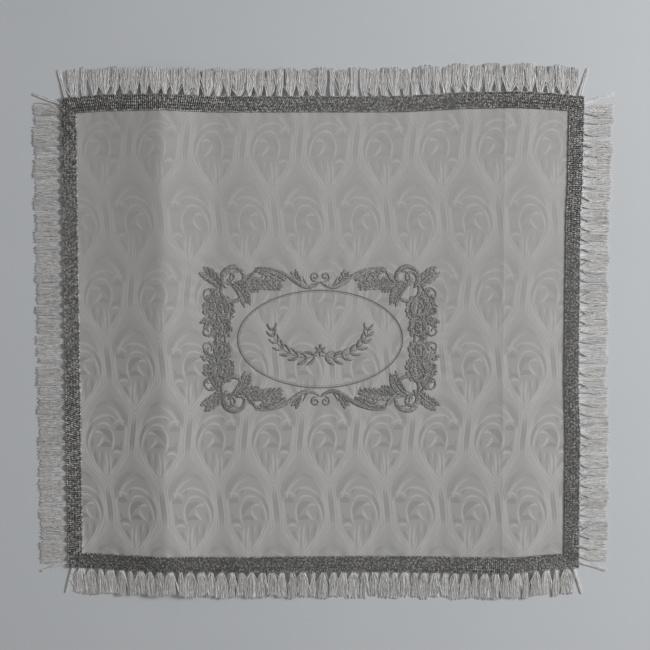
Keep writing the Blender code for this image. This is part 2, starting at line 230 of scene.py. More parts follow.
# %% A sheet from a grid of points
def sheet_part(u, v, points):
    """A grid of points as a mesh: each face joins a point, the next one along and the row above."""
    rows, columns = len(v), len(u)
    index = np.arange(rows * columns).reshape(rows, columns)
    corners = (index[:-1, :-1], index[:-1, 1:], index[1:, 1:], index[1:, :-1])
    quads = np.stack(corners, axis=-1).reshape(-1, 4)
    flat = np.stack(np.meshgrid(u, v), axis=-1).reshape(-1, 2)
    return {
        "points": points.reshape(-1, 3), "quads": quads, "uv": flat[quads].reshape(-1, 2),
        "shade": np.full(rows * columns, 0.5),
    }


# %% Threads from profiles and paths
def thread_part(rings, shade, closed=False):
    """Threads as a mesh. rings has the shape (threads, stations, points round, 3).

    Each face joins two neighbours on one ring with the same two on the next ring. The ends are
    capped with strips of faces across the ring, or the last ring is joined to the first.
    The UV map holds the share of the way round, and the distance along the thread in metres.
    """
    threads, stations, around = rings.shape[:3]
    index = np.arange(threads * stations * around).reshape(threads, stations, around)
    steps = np.linalg.norm(np.diff(rings.mean(axis=2), axis=1), axis=-1)
    along = np.concatenate((np.zeros((threads, 1)), np.cumsum(steps, axis=1)), axis=1)[:, :, None]
    last = stations if closed else stations - 1
    here, ahead = index[:, :last], np.roll(index, -1, axis=1)[:, :last]
    start, end = along[:, :last], np.roll(along, -1, axis=1)[:, :last]
    skin = (here, np.roll(here, -1, axis=2), np.roll(ahead, -1, axis=2), ahead)
    quads = np.stack(skin, axis=-1).reshape(-1, 4)
    turn = np.arange(around) / around
    past = turn + 1 / around
    corners = (turn, start, past, start, past, end, turn, end)
    uv = np.stack(np.broadcast_arrays(*corners), axis=-1).reshape(-1, 2)
    if not closed:
        low = np.arange(around // 2 - 1)
        cap = np.stack((low, low + 1, around - 2 - low, around - 1 - low), axis=-1)
        front = index[:, 0][:, cap[:, ::-1]].reshape(-1, 4)
        back = index[:, -1][:, cap].reshape(-1, 4)
        quads = np.concatenate((quads, front, back))
        uv = np.concatenate((uv, np.zeros((8 * len(front), 2))))
    shades = np.repeat(shade, stations * around)
    return {"points": rings.reshape(-1, 3), "quads": quads, "uv": uv, "shade": shades}


def carried(u, v, lift, half_width, half_height, section):
    """Carries a profile along flat paths u, v of shape (threads, stations) and lays them down.

    At each station the profile's first number goes to the left of the path, times the half width,
    and its second number goes up, times the half height.
    """
    ahead_u, ahead_v = np.gradient(u, axis=1), np.gradient(v, axis=1)
    length = np.hypot(ahead_u, ahead_v) + 1e-12
    left_u, left_v = -ahead_v / length, ahead_u / length
    sideways = section[:, 0] * np.asarray(half_width)[..., None]
    upwards = section[:, 1] * np.asarray(half_height)[..., None]
    ring_u = u[..., None] + left_u[..., None] * sideways
    ring_v = v[..., None] + left_v[..., None] * sideways
    return laid(ring_u, ring_v, np.asarray(lift)[..., None] + upwards)


def round_section(around):
    """A circle of so many points, from the left over the top."""
    turn = 2 * np.pi * (np.arange(around) + 0.5) / around
    return np.stack((np.cos(turn), np.sin(turn)), axis=-1)


# %% [markdown]
# ## Writing materials as arithmetic
#
# A woven pattern is a sum of simple marks, and sums read more easily as Python than as wired boxes.
# The small class below wraps a node's output, so that a - b or abs(a) adds the Math node for it.

# %% A number that changes over the surface
class Value:
    """A number that changes over the surface. Arithmetic on it adds Math nodes."""

    def __init__(self, finish, socket):
        self.finish = finish
        self.socket = socket

    def maths(self, operation, *others):
        """Adds a Math node with this number as its first."""
        return self.finish.maths(operation, self, *others)

    def __add__(self, other):
        return self.maths("ADD", other)

    def __sub__(self, other):
        return self.maths("SUBTRACT", other)

    def __rsub__(self, other):
        return self.finish.maths("SUBTRACT", other, self)

    def __mul__(self, other):
        return self.maths("MULTIPLY", other)

    def __truediv__(self, other):
        return self.maths("DIVIDE", other)

    def __abs__(self):
        return self.maths("ABSOLUTE")

    __radd__ = __add__
    __rmul__ = __mul__

    def fade(self, low, high, start=0.0, end=1.0):
        """start where the number is below low, end where it is above high, and smooth between."""
        settings = {"interpolation_type": "SMOOTHSTEP"}
        inputs = {"Value": self, "From Min": low, "From Max": high, "To Min": start, "To Max": end}
        return self.finish.node("ShaderNodeMapRange", settings, inputs)


# %% A finish and its nodes
class Finish:
    """A material: constant looks go on its shader's own sockets, and varying ones are linked."""

    def __init__(self, name, **constants):
        self.material = bpy.data.materials.new(name)
        self.material.use_nodes = True
        self.tree = self.material.node_tree
        self.shader = self.tree.nodes["Principled BSDF"]
        for label, value in constants.items():
            self.shader.inputs[label.replace("_", " ")].default_value = value

    def feed(self, socket, value):
        """Links a changing value to a socket, or sets a constant on it."""
        if isinstance(value, Value):
            self.tree.links.new(value.socket, socket)
        else:
            socket.default_value = value

    def node(self, kind, settings=None, inputs=None, output=0):
        """Adds a node with its settings, then its sockets' values or links, and gives an output."""
        made = self.tree.nodes.new(kind)
        for key, value in (settings or {}).items():
            setattr(made, key, value)
        for key, value in (inputs or {}).items():
            self.feed(made.inputs[key], value)
        return Value(self, made.outputs[output])

    def maths(self, operation, *inputs):
        """Adds a Math node of one operation on numbers."""
        return self.node("ShaderNodeMath", {"operation": operation}, dict(enumerate(inputs)))

    def flat(self, scale):
        """The flat UV map, multiplied so that one step is 1 / scale metres."""
        uv = self.node("ShaderNodeUVMap", {"uv_map": "flat"})
        return self.vector("MULTIPLY", uv, (scale, scale, 0.0))

    def vector(self, operation, *inputs, output=0):
        """Adds a Vector Math node of one operation on vectors."""
        settings = {"operation": operation}
        return self.node("ShaderNodeVectorMath", settings, dict(enumerate(inputs)), output)

    def split(self, vector):
        """The first two numbers of a vector."""
        return [self.node("ShaderNodeSeparateXYZ", None, {0: vector}, axis) for axis in (0, 1)]

    def point(self, x, y):
        """A vector of two numbers."""
        return self.node("ShaderNodeCombineXYZ", None, {0: x, 1: y})

    def shade(self):
        """The shade from 0 to 1 that each thread was given in its mesh."""
        return self.node("ShaderNodeAttribute", {"attribute_name": "shade"}, None, "Fac")

    def noise(self, vector, scale, detail=2.0):
        """Smooth chance from 0 to 1, with so many steps a metre."""
        inputs = {"Vector": vector, "Scale": scale, "Detail": detail}
        return self.node("ShaderNodeTexNoise", None, inputs, "Fac")

    def place(self):
        """The place on the piece in metres."""
        return self.node("ShaderNodeTexCoord", None, None, "Object")

    def blend(self, factor, first, second):
        """A colour between two colours."""
        settings = {"data_type": "RGBA"}
        return self.node("ShaderNodeMix", settings, {0: factor, 6: first, 7: second}, 2)

    def tinted(self, colour, level):
        """A colour made lighter or darker by a number, which is 1 where it stays as it is."""
        inputs = {0: colour[:3], "Scale": level}
        return self.node("ShaderNodeVectorMath", {"operation": "SCALE"}, inputs)

    def surface(self, colour=None, roughness=None, height=None, depth=1.0):
        """Links what varies: the colour, the roughness, and a height that the light picks out."""
        if colour is not None:
            self.feed(self.shader.inputs["Base Color"], colour)
        if roughness is not None:
            self.feed(self.shader.inputs["Roughness"], roughness)
        if height is not None:
            inputs = {"Height": height, "Distance": depth}
            self.feed(self.shader.inputs["Normal"], self.node("ShaderNodeBump", None, inputs))
        return self.material


def grey(level, warmth=0.012):
    """A nearly neutral colour: a little more red and a little less blue than grey."""
    return (level * (1 + warmth), level, level * (1 - 1.6 * warmth), 1.0)


# %% [markdown]
# ## The damask
#
# Damask shows its figure by the way the threads lie: where the weft floats on top, the cloth is
# dull, and where the warp does, it shines. The figure is an old one: bundles of stems part at a
# knot, go round a flower and close over it to make the next trunk. Each second row is shifted by
# half a width and turned left for right. So every point lies in just one oval of stems, and one set
# of marks, drawn for one oval, serves them all.

# %% The damask's net
DAMASK_PITCH = 60.5
DAMASK_RISE = 156.8
DAMASK_KNOT = (128.8, -167.0)
DAMASK_OPEN = 1.1
DAMASK_TRUNK = 0.78
DAMASK_LEAN = 3.2
DAMASK_LAG = 0.2
TRUNK_SWELL = (-0.1, 1.0)


def damask_net(finish):
    """The place inside one oval in mm, the sideways distance to its edge, and the trunks' swell.

    The half width of the first row's ovals is a smooth step of the cosine of the height, which goes
    once round in a rise: an oval opens at its knot, runs up straight, and closes again. Outside it,
    the point is in the second row. All of it sways as a sine of the height.
    """
    u, v = finish.split(finish.flat(1 / MM))
    row = (v - DAMASK_KNOT[1]) / DAMASK_RISE
    turn = row * (2 * math.pi)
    column = (u - DAMASK_KNOT[0]) / DAMASK_PITCH
    column = column + (turn + DAMASK_LAG).maths("SINE") * (DAMASK_LEAN / DAMASK_PITCH)
    x_first = ((column + 0.5).maths("FRACT") - 0.5) * DAMASK_PITCH
    x_second = (0.5 - column.maths("FRACT")) * DAMASK_PITCH
    y_first = row.maths("FRACT") * DAMASK_RISE
    y_second = (row + 0.5).maths("FRACT") * DAMASK_RISE
    opened = (turn + DAMASK_TRUNK).maths("COSINE")
    half = opened.fade(-DAMASK_OPEN, DAMASK_OPEN, DAMASK_PITCH / 2, 0.0)
    inside = half.maths("GREATER_THAN", abs(x_first))
    x = x_second + (x_first - x_second) * inside
    y = y_second + (y_first - y_second) * inside
    edge = abs(half - abs(x_first))
    swell = (turn * 2 + DAMASK_TRUNK * 2).maths("COSINE").fade(*TRUNK_SWELL)
    return x, y, edge, swell


def arc_field(finish, place, start, middle, end, half_width):
    """How far a point is outside a stroke along an arc through three points, below 0 inside it.

    The distance from the arc's centre, less its radius, is the distance from the arc. The stroke
    narrows to nothing at both ends, with the square of the distance from its middle.
    """
    a, b, c = (complex(*point) for point in (start, middle, end))
    bend = (c - a) / (b - a)
    centre = a + (b - a) * (bend - abs(bend) ** 2) / (2j * bend.imag)
    radius, half_chord = abs(a - centre), abs(c - a) / 2
    from_centre = finish.vector("DISTANCE", place, (centre.real, centre.imag, 0.0), output="Value")
    along = finish.vector("DISTANCE", place, (*middle, 0.0), output="Value")
    off = abs(from_centre - radius)
    return (along * along).maths("MULTIPLY_ADD", half_width / half_chord**2, off)


def least(values):
    """The smallest of several numbers."""
    smallest = values[0]
    for value in values[1:]:
        smallest = smallest.maths("MINIMUM", value)
    return smallest


# %% [markdown]
# The marks inside an oval stand above its knot: a cup of petals, a hooked leaf that bends over it,
# a bud on a stalk to the right, a round leaf, and stems that arch over all of it. Light marks are
# thin lines and dark marks are fills, as in the cloth. Every mark is a part of a circle, given by
# its two ends and its middle in mm from the knot, and by half its width.

# %% The damask's figure
LIGHT_ROWS = (
    ((1, 3), (-12.5, 24), (-20.5, 44), 0.9),
    ((-20.5, 42), (-22.4, 57), (-17.5, 73), 0.9),
    ((-19.5, 60), (-7, 79.5), (11, 74.5), 1.1),
    ((3, 7), (-9.5, 25), (-17, 42), 0.8),
    ((-17, 40), (-18, 56), (-11.5, 68), 0.9),
    ((-12.5, 67.5), (-3, 71.5), (6, 63.5), 0.9),
    ((5, 65), (9, 53.5), (6, 38), 0.9),
    ((0.5, 12), (-2.5, 26), (-6.8, 41), 1.1),
    ((1.5, 12), (2.2, 26), (0.6, 41), 1.1),
    ((3, 12), (6.4, 26), (5.6, 40), 0.9),
    ((-13.8, 55), (-8.6, 62.5), (-3.6, 56), 1.3),
    ((-3.4, 58), (-5, 50.5), (-11, 45), 1.3),
    ((4, 9), (8.6, 21), (9, 34), 0.8),
    ((5, 6), (15.5, 19.5), (21.5, 36), 0.9),
    ((8, 33), (13.8, 40.5), (20, 35), 1),
    ((8, 64), (14, 75), (22.5, 64), 1.2),
    ((-24, 42), (-25.4, 60), (-20, 77), 0.7),
    ((18, 66), (10.5, 82), (-6, 91.5), 1.1),
)
DARK_ROWS = (
    ((-20.6, 46), (-20.2, 60), (-13.5, 76.5), 2),
    ((5.6, 45), (2.5, 60.5), (-12.5, 62.5), 3.6),
    ((-6, 46), (1, 48.5), (8, 45), 3.2),
    ((-8, 24), (-10.6, 34), (-10.4, 43), 1.6),
    ((-1.6, 18), (-3.4, 30), (-3.2, 40), 1.7),
    ((-13.6, 44), (-14.6, 50), (-13, 56), 1.2),
    ((7.6, 20), (10.4, 28.5), (14, 34), 1.9),
    ((8.5, 41.5), (14.5, 45.5), (20.5, 41), 2.7),
    ((16.4, 44), (17.8, 48.5), (18.8, 54), 1.1),
    ((9, 64.5), (15, 67), (21, 64.5), 4.6),
    ((0, 79), (4.8, 76.5), (4.6, 70.5), 1.2),
    ((22.7, 66), (15.5, 86), (-5, 99.5), 3.8),
    ((-1, 95.5), (-9, 93), (-15.5, 88), 2.4),
    ((2, 13), (4.2, 21), (4.4, 29), 1),
)
LIGHT_EXTRA = 0.3
ARCH_FADE = (66.0, 104.0)
ARCH_SHARE = 0.32
STEM_BAND = (3.0, 7.0)
STEM_BAND_SHARE = 0.22
STEM_LINES = ((0.9, 2.6), (4.0, 2.4), (7.0, 1.2))
STEM_LINE_HALF = 0.75
STEM_LEAF = 2.6
LIGHT_EDGE = (-0.6, 0.7)
DARK_EDGE = (-0.8, 0.6)
print("marks in one oval:", len(LIGHT_ROWS), "light and", len(DARK_ROWS), "dark")


def damask_figure(finish):
    """The light marks and the dark ones, each from 0 to 1, worked out from the net's place.

    Along the ovals' edges run light lines on a fainter band, and a dark leaf where a trunk swells.
    All of it is fainter in the arch over the flower.
    """
    x, y, edge, swell = damask_net(finish)
    place = finish.point(x, y)
    light, dark = [], []
    for marks, rows, extra in ((light, LIGHT_ROWS, LIGHT_EXTRA), (dark, DARK_ROWS, 0)):
        for *points, half_width in rows:
            half_width = half_width + extra
            marks.append(arc_field(finish, place, *points, half_width) - half_width)
    for distance, opening in STEM_LINES:
        light.append(abs(edge - distance - swell * opening) - STEM_LINE_HALF)
    dark.append(edge - swell * STEM_LEAF)
    band = dark[-1].fade(*STEM_BAND, STEM_BAND_SHARE, 0.0)
    upper = y.fade(*ARCH_FADE, 1.0, ARCH_SHARE)
    light = least(light).fade(*LIGHT_EDGE, 1.0, 0.0) * upper
    return light.maths("MAXIMUM", band), least(dark).fade(*DARK_EDGE, 1.0, 0.0) * upper


# %% [markdown]
# The colour, the gloss and the fine relief all come from the same two numbers. The cloth is all one
# white, so the lighter and darker marks in its colour are painted sheen, for the shine of the warp
# and the dullness of the weft. The threads themselves are 0.45 mm apart: in the shining parts only
# the warp's show, and elsewhere both do. The painted sheen is stronger in the dark flank of the left
# fold and towards the bottom, and a thin painted highlight runs along the crease where the cloth was
# pressed in a fold.

# %% The damask's finish
WHITE_LEVEL = 0.60
# How much lighter the shining marks and darker the dull ones are painted: painted sheen on one white.
PAINTED_SHEEN_LIGHT = 0.17
PAINTED_SHEEN_DARK = 0.12
DARK_OVER_LIGHT = 0.6
DAMASK_ROUGH = 0.56
LIGHT_GLOSS = 0.12
DARK_DULL = 0.10
SLUB_SCALE = 900.0
SLUB_STRETCH = (1.0, 0.12, 1.0)
CLOUD_SCALE = 9.0
UNEVEN = 0.05
WEFT_SHARE = 0.8
THREAD_STEP = 0.45 * MM
WEAVE_DEPTH = 0.045 * MM
# The painted sheen is weaker further up the cloth and stronger in the shaded flank of the left fold.
SHEEN_UP_THE_CLOTH = (-120 * MM, 130 * MM, 1.2, 0.38)
SHEEN_IN_SHADED_FLANK = (-185 * MM, -160 * MM, 1.35, 1.0)
# A painted highlight along the pressed crease, where its ridge catches the lamp.
CREASE_PAINTED_HIGHLIGHT = (0.2 * MM, 0.9 * MM, 0.15, 0.0)


def damask_finish():
    """The white cloth. Its level is 1, plus the light marks and less the dark ones.

    Both marks are painted sheen. They are multiplied by a factor that is less further up the cloth
    and more in the shaded flank of the left fold, and slub, cloud and a painted highlight along the
    pressed crease are added. The relief is a sine of u for the warp and one of v for the weft, which
    is weaker where the warp shines.
    """
    finish = Finish("white_damask", Sheen_Weight=0.25, Sheen_Roughness=0.45,
                    Specular_IOR_Level=0.35)
    light, dark = damask_figure(finish)
    light = light * (1 - dark * DARK_OVER_LIGHT)
    place = finish.place()
    slub = finish.noise(finish.vector("MULTIPLY", place, SLUB_STRETCH), SLUB_SCALE, 1.0)
    cloud = finish.noise(place, CLOUD_SCALE)
    u, v = finish.split(finish.flat(1.0))
    warp = (u * (2 * math.pi / THREAD_STEP)).maths("SINE")
    weft = (v * (2 * math.pi / THREAD_STEP)).maths("SINE")
    # How strong the painted sheen of the figure is at each place.
    sheen_strength = v.fade(*SHEEN_UP_THE_CLOTH) * u.fade(*SHEEN_IN_SHADED_FLANK)
    level = 1 + (light * PAINTED_SHEEN_LIGHT - dark * PAINTED_SHEEN_DARK) * sheen_strength
    level = level + (slub - 0.5) * UNEVEN + (cloud - 0.5) * UNEVEN
    # Painted highlight along the pressed crease.
    level = level + abs(u - PRESSED_LINE).fade(*CREASE_PAINTED_HIGHLIGHT)
    tone = finish.tinted(grey(WHITE_LEVEL), level)
    roughness = DAMASK_ROUGH - light * LIGHT_GLOSS + dark * DARK_DULL
    height = warp + weft * (1 - light * WEFT_SHARE) * WEFT_SHARE + light
    return finish.surface(tone, roughness, height, WEAVE_DEPTH)


white_damask = damask_finish()
print("damask nodes:", len(white_damask.node_tree.nodes))

# %% [markdown]
# ## The cloth
#
# The cloth is one grid of points on the lie, 2.6 mm apart, and a Solidify modifier gives it its
# thickness. Sewing pulls a cloth together, so it puckers: along the braid in short waves across the
# seam, and round the embroidery in weak rays.

# %% The woven panel
CLOTH_STEP = 2.6 * MM
SEAM_PUCKER = 0.20 * MM
SEAM_WAVE = 13 * MM
SEAM_REACH = 14 * MM
SEAM_SWAY = 1.7
RAY_PUCKER = 0.22 * MM
RAY_COUNT = 46
RAY_HALF = (128 * MM, 80 * MM)
RAY_PEAK = 1.06
RAY_FADE = 0.12


def pucker_height(u, v):
    """Waves along each seam that die away from it, plus rays round the embroidery's edge.

    A seam's wave is a sine of the distance along it, times e to the power of minus the distance
    from it. A ray's is a sine of the direction from the middle, strongest just outside the frame.
    """
    seam = 0
    for along, across, half, beat in ((v, u, HALF_WIDTH, 31), (u, v, HALF_HEIGHT, 29)):
        wave = np.sin(along * 2 * np.pi / SEAM_WAVE + SEAM_SWAY * np.sin(along * beat))
        seam = seam + wave * np.exp(-np.abs(half - BRAID_WIDTH - np.abs(across)) / SEAM_REACH)
    from_u, from_v = (u - MOTIF_CENTRE[0]) / RAY_HALF[0], (v - MOTIF_CENTRE[1]) / RAY_HALF[1]
    away = np.maximum(np.abs(from_u), np.abs(from_v))
    turn = np.arctan2(from_v, from_u)
    rays = np.sin(RAY_COUNT * turn + 2 * np.sin(5 * turn))
    near = np.exp(-((away - RAY_PEAK) / RAY_FADE) ** 2)
    return SEAM_PUCKER * seam + RAY_PUCKER * rays * near


def make_cloth():
    """The panel as a grid on the lie, lifted by its puckers and then given its thickness."""
    half_u, half_v = HALF_WIDTH - CLOTH_INSET, HALF_HEIGHT - CLOTH_INSET
    u = np.linspace(-half_u, half_u, round(2 * half_u / CLOTH_STEP) + 1)
    v = np.linspace(-half_v, half_v, round(2 * half_v / CLOTH_STEP) + 1)
    grid_u, grid_v = np.meshgrid(u, v)
    pucker = pucker_height(grid_u, grid_v)
    points = laid(grid_u, grid_v, np.maximum(pucker - pucker.min(), 0))
    part = sheet_part(u, v, points)
    cloth = new_piece("cloth_panel_woven", part, white_damask, ["cloth_panel"])
    thick = cloth.modifiers.new("cloth_thickness", "SOLIDIFY")
    thick.thickness = CLOTH_THICK
    thick.offset = 1.0
    return cloth


cloth = make_cloth()

# %% [markdown]
# ## Metal thread
#
# The braid and the embroidery are of thread wound with thin metal strip. Close to, such a thread
# is a row of tiny mirrors: some catch the lamp and some look black. Here those glints are painted:
# spots of bright colour, a little rougher, that come and go from one millimetre to the next. On top
# of that, the strip's fine turns are in the relief, and lighten and darken the colour a little as
# painted shade along each turn.

# %% The metal threads' finishes
BRAID_DARK, BRAID_BRIGHT = 0.27, 1.0
STRIP_TURN = 0.9 * MM
STRIP_SLANT = 0.9 * MM
# Where the painted glints fall: the noise between these two numbers.
GLINT_SPOT_EDGE = (0.42, 0.62)
PAINTED_GLINT_SHARE = 0.75
THREAD_SHARE = 0.35
BROAD_SHARE = 0.3
TURN_PAINTED_SHADE = 0.06
GLINT_SPOT_ROUGH = 0.12
METAL_RELIEF = 0.07 * MM


def metal_finish(name, dark, bright, grain, roughness, metallic):
    """Thread wound with metal strip: slanted turns, and painted glints, bright spots that come and go
    with the place.
    """
    finish = Finish(name, Metallic=metallic, Specular_IOR_Level=0.6)
    place = finish.place()
    glint_spots = finish.noise(place, grain, 3.0).fade(*GLINT_SPOT_EDGE)
    broad = finish.noise(place, grain / 9, 2.0)
    around, along = finish.split(finish.flat(1.0))
    turns = ((along + around * STRIP_SLANT) * (2 * math.pi / STRIP_TURN)).maths("SINE")
    # The colour: painted glints, each thread's own shade, a broad cloud, and painted shade along the
    # turns.
    share = glint_spots * PAINTED_GLINT_SHARE + (finish.shade() - 0.5) * THREAD_SHARE
    share = share + (broad - 0.5) * BROAD_SHARE + turns * TURN_PAINTED_SHADE
    colour = finish.blend(share.fade(0.0, 1.0), grey(dark), grey(bright))
    roughness = roughness + glint_spots * GLINT_SPOT_ROUGH
    return finish.surface(colour, roughness, turns + glint_spots * 2, METAL_RELIEF)


silver_braid = metal_finish("silver_braid", BRAID_DARK, BRAID_BRIGHT, 470.0, 0.36, 0.4)
silver_thread = metal_finish("silver_thread", 0.24, 0.58, 900.0, 0.42, 0.2)
for silver in (silver_braid, silver_thread):
    print(silver.name, "nodes:", len(silver.node_tree.nodes))

# %% [markdown]
# ## The braid
#
# A braid of this kind is plaited from a dozen cords that wander from side to side and pass over and
# under each other. A picture of a plait on a flat band would do from afar, but a low lamp catches
# each cord by itself, so the cords are real. Each row is two cords in waves of opposite sign, so
# they cross twice a wave, and their heights are cosines, so one is up where the other is down. A
# darker woven ground lies beneath. A whole number of waves fits each side, and at a corner all
# cords end on the mitre, where the next side's begin: the braid runs on round the corner.

# %% Places along a side
SIDE_WAYS = {"top": (1, 0, 0, 1), "bottom": (-1, 0, 0, -1),
             "left": (0, -1, 1, 0), "right": (0, 1, -1, 0)}


def side_place(side, along, out):
    """The flat place of a point so far along a side and so far out from the cloth's middle."""
    along_u, out_u, along_v, out_v = SIDE_WAYS[side]
    return along_u * along + out_u * out, along_v * along + out_v * out


def side_sizes(side):
    """How far out a side's edge is, and half its length."""
    level = side in ("top", "bottom")
    return (HALF_HEIGHT, HALF_WIDTH) if level else (HALF_WIDTH, HALF_HEIGHT)


def braid_rings(side, share, across, lift, sideways, upwards):
    """A profile carried along a side. share runs from -1 to 1, and reaches the mitres there."""
    edge, half_length = side_sizes(side)
    spot = across[..., None] + sideways - BRAID_WIDTH
    u, v = side_place(side, share[..., None] * (half_length + spot), edge + spot)
    return laid(u, v, lift[..., None] + upwards)


print("side lengths in mm:", [round(2 * side_sizes(side)[1] / MM) for side in SIDE_NAMES])

# %% The braid's ground and cords
THREAD_SIDES = 4
BRAID_ROWS = 5
CORD_RADIUS = 0.62 * MM
CORD_SCALE = 1.15
CORD_SEAT = 0.8
CORD_SWING = 1.75 * MM
CORD_WAVE = 4.6 * MM
CORD_STEPS = 6
CORD_RISE = 0.42 * MM
GROUND_LOW = CLOTH_THICK + 0.05 * MM
GROUND_TOP = CLOTH_THICK + 0.85 * MM
GROUND_STEP = 3.5 * MM
GROUND_INSET = 0.2 * MM
GROUND_RIBS = 10
RIB_DEPTH = 0.22 * MM
CORD_WANDER = 0.25 * MM
WANDER_TURNS = 97
EDGE_INSET = 0.45 * MM
EDGE_SWING = 0.75 * MM


def braid_ground(side):
    """The woven ground: a thin band with ten low ribs, flat beneath."""
    ribs = np.linspace(GROUND_INSET, BRAID_WIDTH - GROUND_INSET, 2 * GROUND_RIBS + 1)
    tops = GROUND_TOP - RIB_DEPTH * (np.arange(len(ribs)) % 2)
    sideways = np.concatenate((ribs, ribs[::-1]))
    upwards = np.concatenate((tops, np.full(len(ribs), GROUND_LOW)))
    stations = round(2 * side_sizes(side)[1] / GROUND_STEP)
    share = np.linspace(-1, 1, stations)[None]
    rings = braid_rings(side, share, np.zeros_like(share), np.zeros_like(share), sideways, upwards)
    return thread_part(rings[:, :, ::-1], np.array([0.1]))


def braid_cords(side, draw):
    """Pairs of cords in opposite waves, row by row, and a tight wavy cord along each edge."""
    waves = round(2 * side_sizes(side)[1] / CORD_WAVE)
    share = np.linspace(-1, 1, waves * CORD_STEPS + 1)
    turn = waves * np.pi * (share + 1)
    middle = BRAID_WIDTH * (np.arange(BRAID_ROWS) + 0.5) / BRAID_ROWS
    signs = np.tile((1.0, -1.0), BRAID_ROWS)
    middle = np.repeat(middle, 2)
    wander = CORD_WANDER * np.sin(share * WANDER_TURNS + draw.uniform(0, 6, (len(middle), 1)))
    wander = wander * (1 - share**8)
    shift = np.repeat(np.arange(BRAID_ROWS) % 2, 2)[:, None] * np.pi
    across = middle[:, None] + signs[:, None] * CORD_SWING * np.sin(turn + shift) + wander
    lift = GROUND_TOP + CORD_RADIUS * CORD_SEAT + signs[:, None] * CORD_RISE * np.cos(turn + shift)
    edges = np.array((EDGE_INSET, BRAID_WIDTH - EDGE_INSET))[:, None]
    edge_across = edges + EDGE_SWING * np.sin(turn * 2 + np.array((0.0, np.pi))[:, None])
    across = np.concatenate((across, edge_across))
    lift = np.concatenate((lift, np.full_like(edge_across, GROUND_TOP)))
    section = round_section(THREAD_SIDES) * CORD_RADIUS * CORD_SCALE
    share = np.broadcast_to(share, across.shape)
    rings = braid_rings(side, share, across, lift, section[:, 0], section[:, 1])
    return thread_part(rings, draw.uniform(0, 1, len(across)))


def make_braid(side, draw):
    """One side's ground and cords as one piece."""
    part = joined([braid_ground(side), braid_cords(side, draw)])
    return new_piece("braid_" + side + "_plaited", part, silver_braid, ["braid_" + side])


chance = np.random.default_rng(12)
braids = [make_braid(side, chance) for side in SIDE_NAMES]

# %% [markdown]
# ## The fringe
#
# A brush fringe is a row of tufts of soft, glossy yarn on a narrow tape, the heading, which is
# hidden under the braid. Each tuft leaves it through a narrow root and fans out, the yarns crossing,
# until its tips nearly meet the next tuft's. Here and there the fringe has parted, and a few yarns
# lie across the parting. A hair system could scatter such yarns, but these have to gather and part
# in set places, so each yarn is a thread with its own path.

# %% The fringe's tufts
SIDE_ROWS = {"top": (49, 31.2 * MM), "bottom": (49, 30.8 * MM),
             "left": (44, 32.5 * MM), "right": (44, 32.5 * MM)}
PARTING_ROWS = {
    "top": ((-248, 4.0), (-199, 3.0), (-45, 3.5), (13, 3.5), (33, 4.0), (173, 3.0), (190, 4.5),
            (241, 3.5)),
    "bottom": ((-252, 4.0), (-222, 3.5), (-45, 3.0), (13, 3.0), (212, 4.0), (256, 3.5)),
    "left": ((224, 4.0), (71, 3.5), (-8, 3.0), (-30, 4.0), (-185, 3.5)),
    "right": ((202, 4.0), (49, 3.5), (-30, 4.0), (-164, 3.5), (-214, 4.5)),
}
LOCK_WIDTH = 3.4 * MM
LOCK_GAP = 1.2 * MM
LOCK_INSET = {"top": 275 * MM, "bottom": 275 * MM, "left": 249 * MM, "right": 248 * MM}
END_LEAN = {"top": 1 * MM, "bottom": 1 * MM, "left": 4 * MM, "right": 3 * MM}
END_REACH = 16 * MM
TUFT_GAP = 1.2 * MM
TUFT_SWAY = 1.5 * MM
TUFT_RAGGED = 1.5 * MM
GAP_POWER = 1.5
GAP_BEAT, SWAY_BEAT, RAGGED_BEAT = 4.1, 2.4, 1.9


def tuft_lines(side):
    """Where each tuft begins and ends, at its root and at its tips, and how long each tuft is.

    The tufts are evenly spaced at their roots. Their tips, the gaps between them and their lengths
    differ as sines of the tuft's number, and near a side's ends the tips lean outwards.
    """
    count, length = SIDE_ROWS[side]
    half_run = LOCK_INSET[side] - LOCK_WIDTH / 2 - LOCK_GAP
    pitch = 2 * half_run / count
    index = np.arange(count + 1)
    bounds = -half_run + index * pitch
    opening = TUFT_GAP * (1 + np.sin(GAP_BEAT * index + count)) ** GAP_POWER
    for along, opened in PARTING_ROWS[side]:
        opening = np.where(np.abs(bounds - along * MM) <= pitch / 2, opened * MM, opening)
    tips = bounds + TUFT_SWAY * np.sin(SWAY_BEAT * index + count)
    outwards = np.exp((np.abs(bounds) - half_run) / END_REACH)
    tips = tips + END_LEAN[side] * np.sign(bounds) * outwards
    ragged = TUFT_RAGGED * (np.sin(RAGGED_BEAT * index[:-1]) - 1)
    return bounds, tips, opening, length + ragged


print("tufts on each side:", {side: SIDE_ROWS[side][0] for side in SIDE_NAMES})

# %% The yarns of a tuft
TUFT_ROOT = 3.6 * MM
YARN_HALF_WIDTH = 0.42 * MM
LOW_YARNS = 13
LOW_STRAY = 0.03
LOW_WAVE = 0.2 * MM
TOP_YARNS = 16
TOP_HOLD = 0.5
TOP_STRAY = 0.72
MOST_STRAY = 1.4
TOP_WAVE = 1.9 * MM
TOP_LAYERS = (0.7, 2.6)
TOOTH = 0.6
TOOTH_TURNS = 9
TIP_SCATTER = 0.7


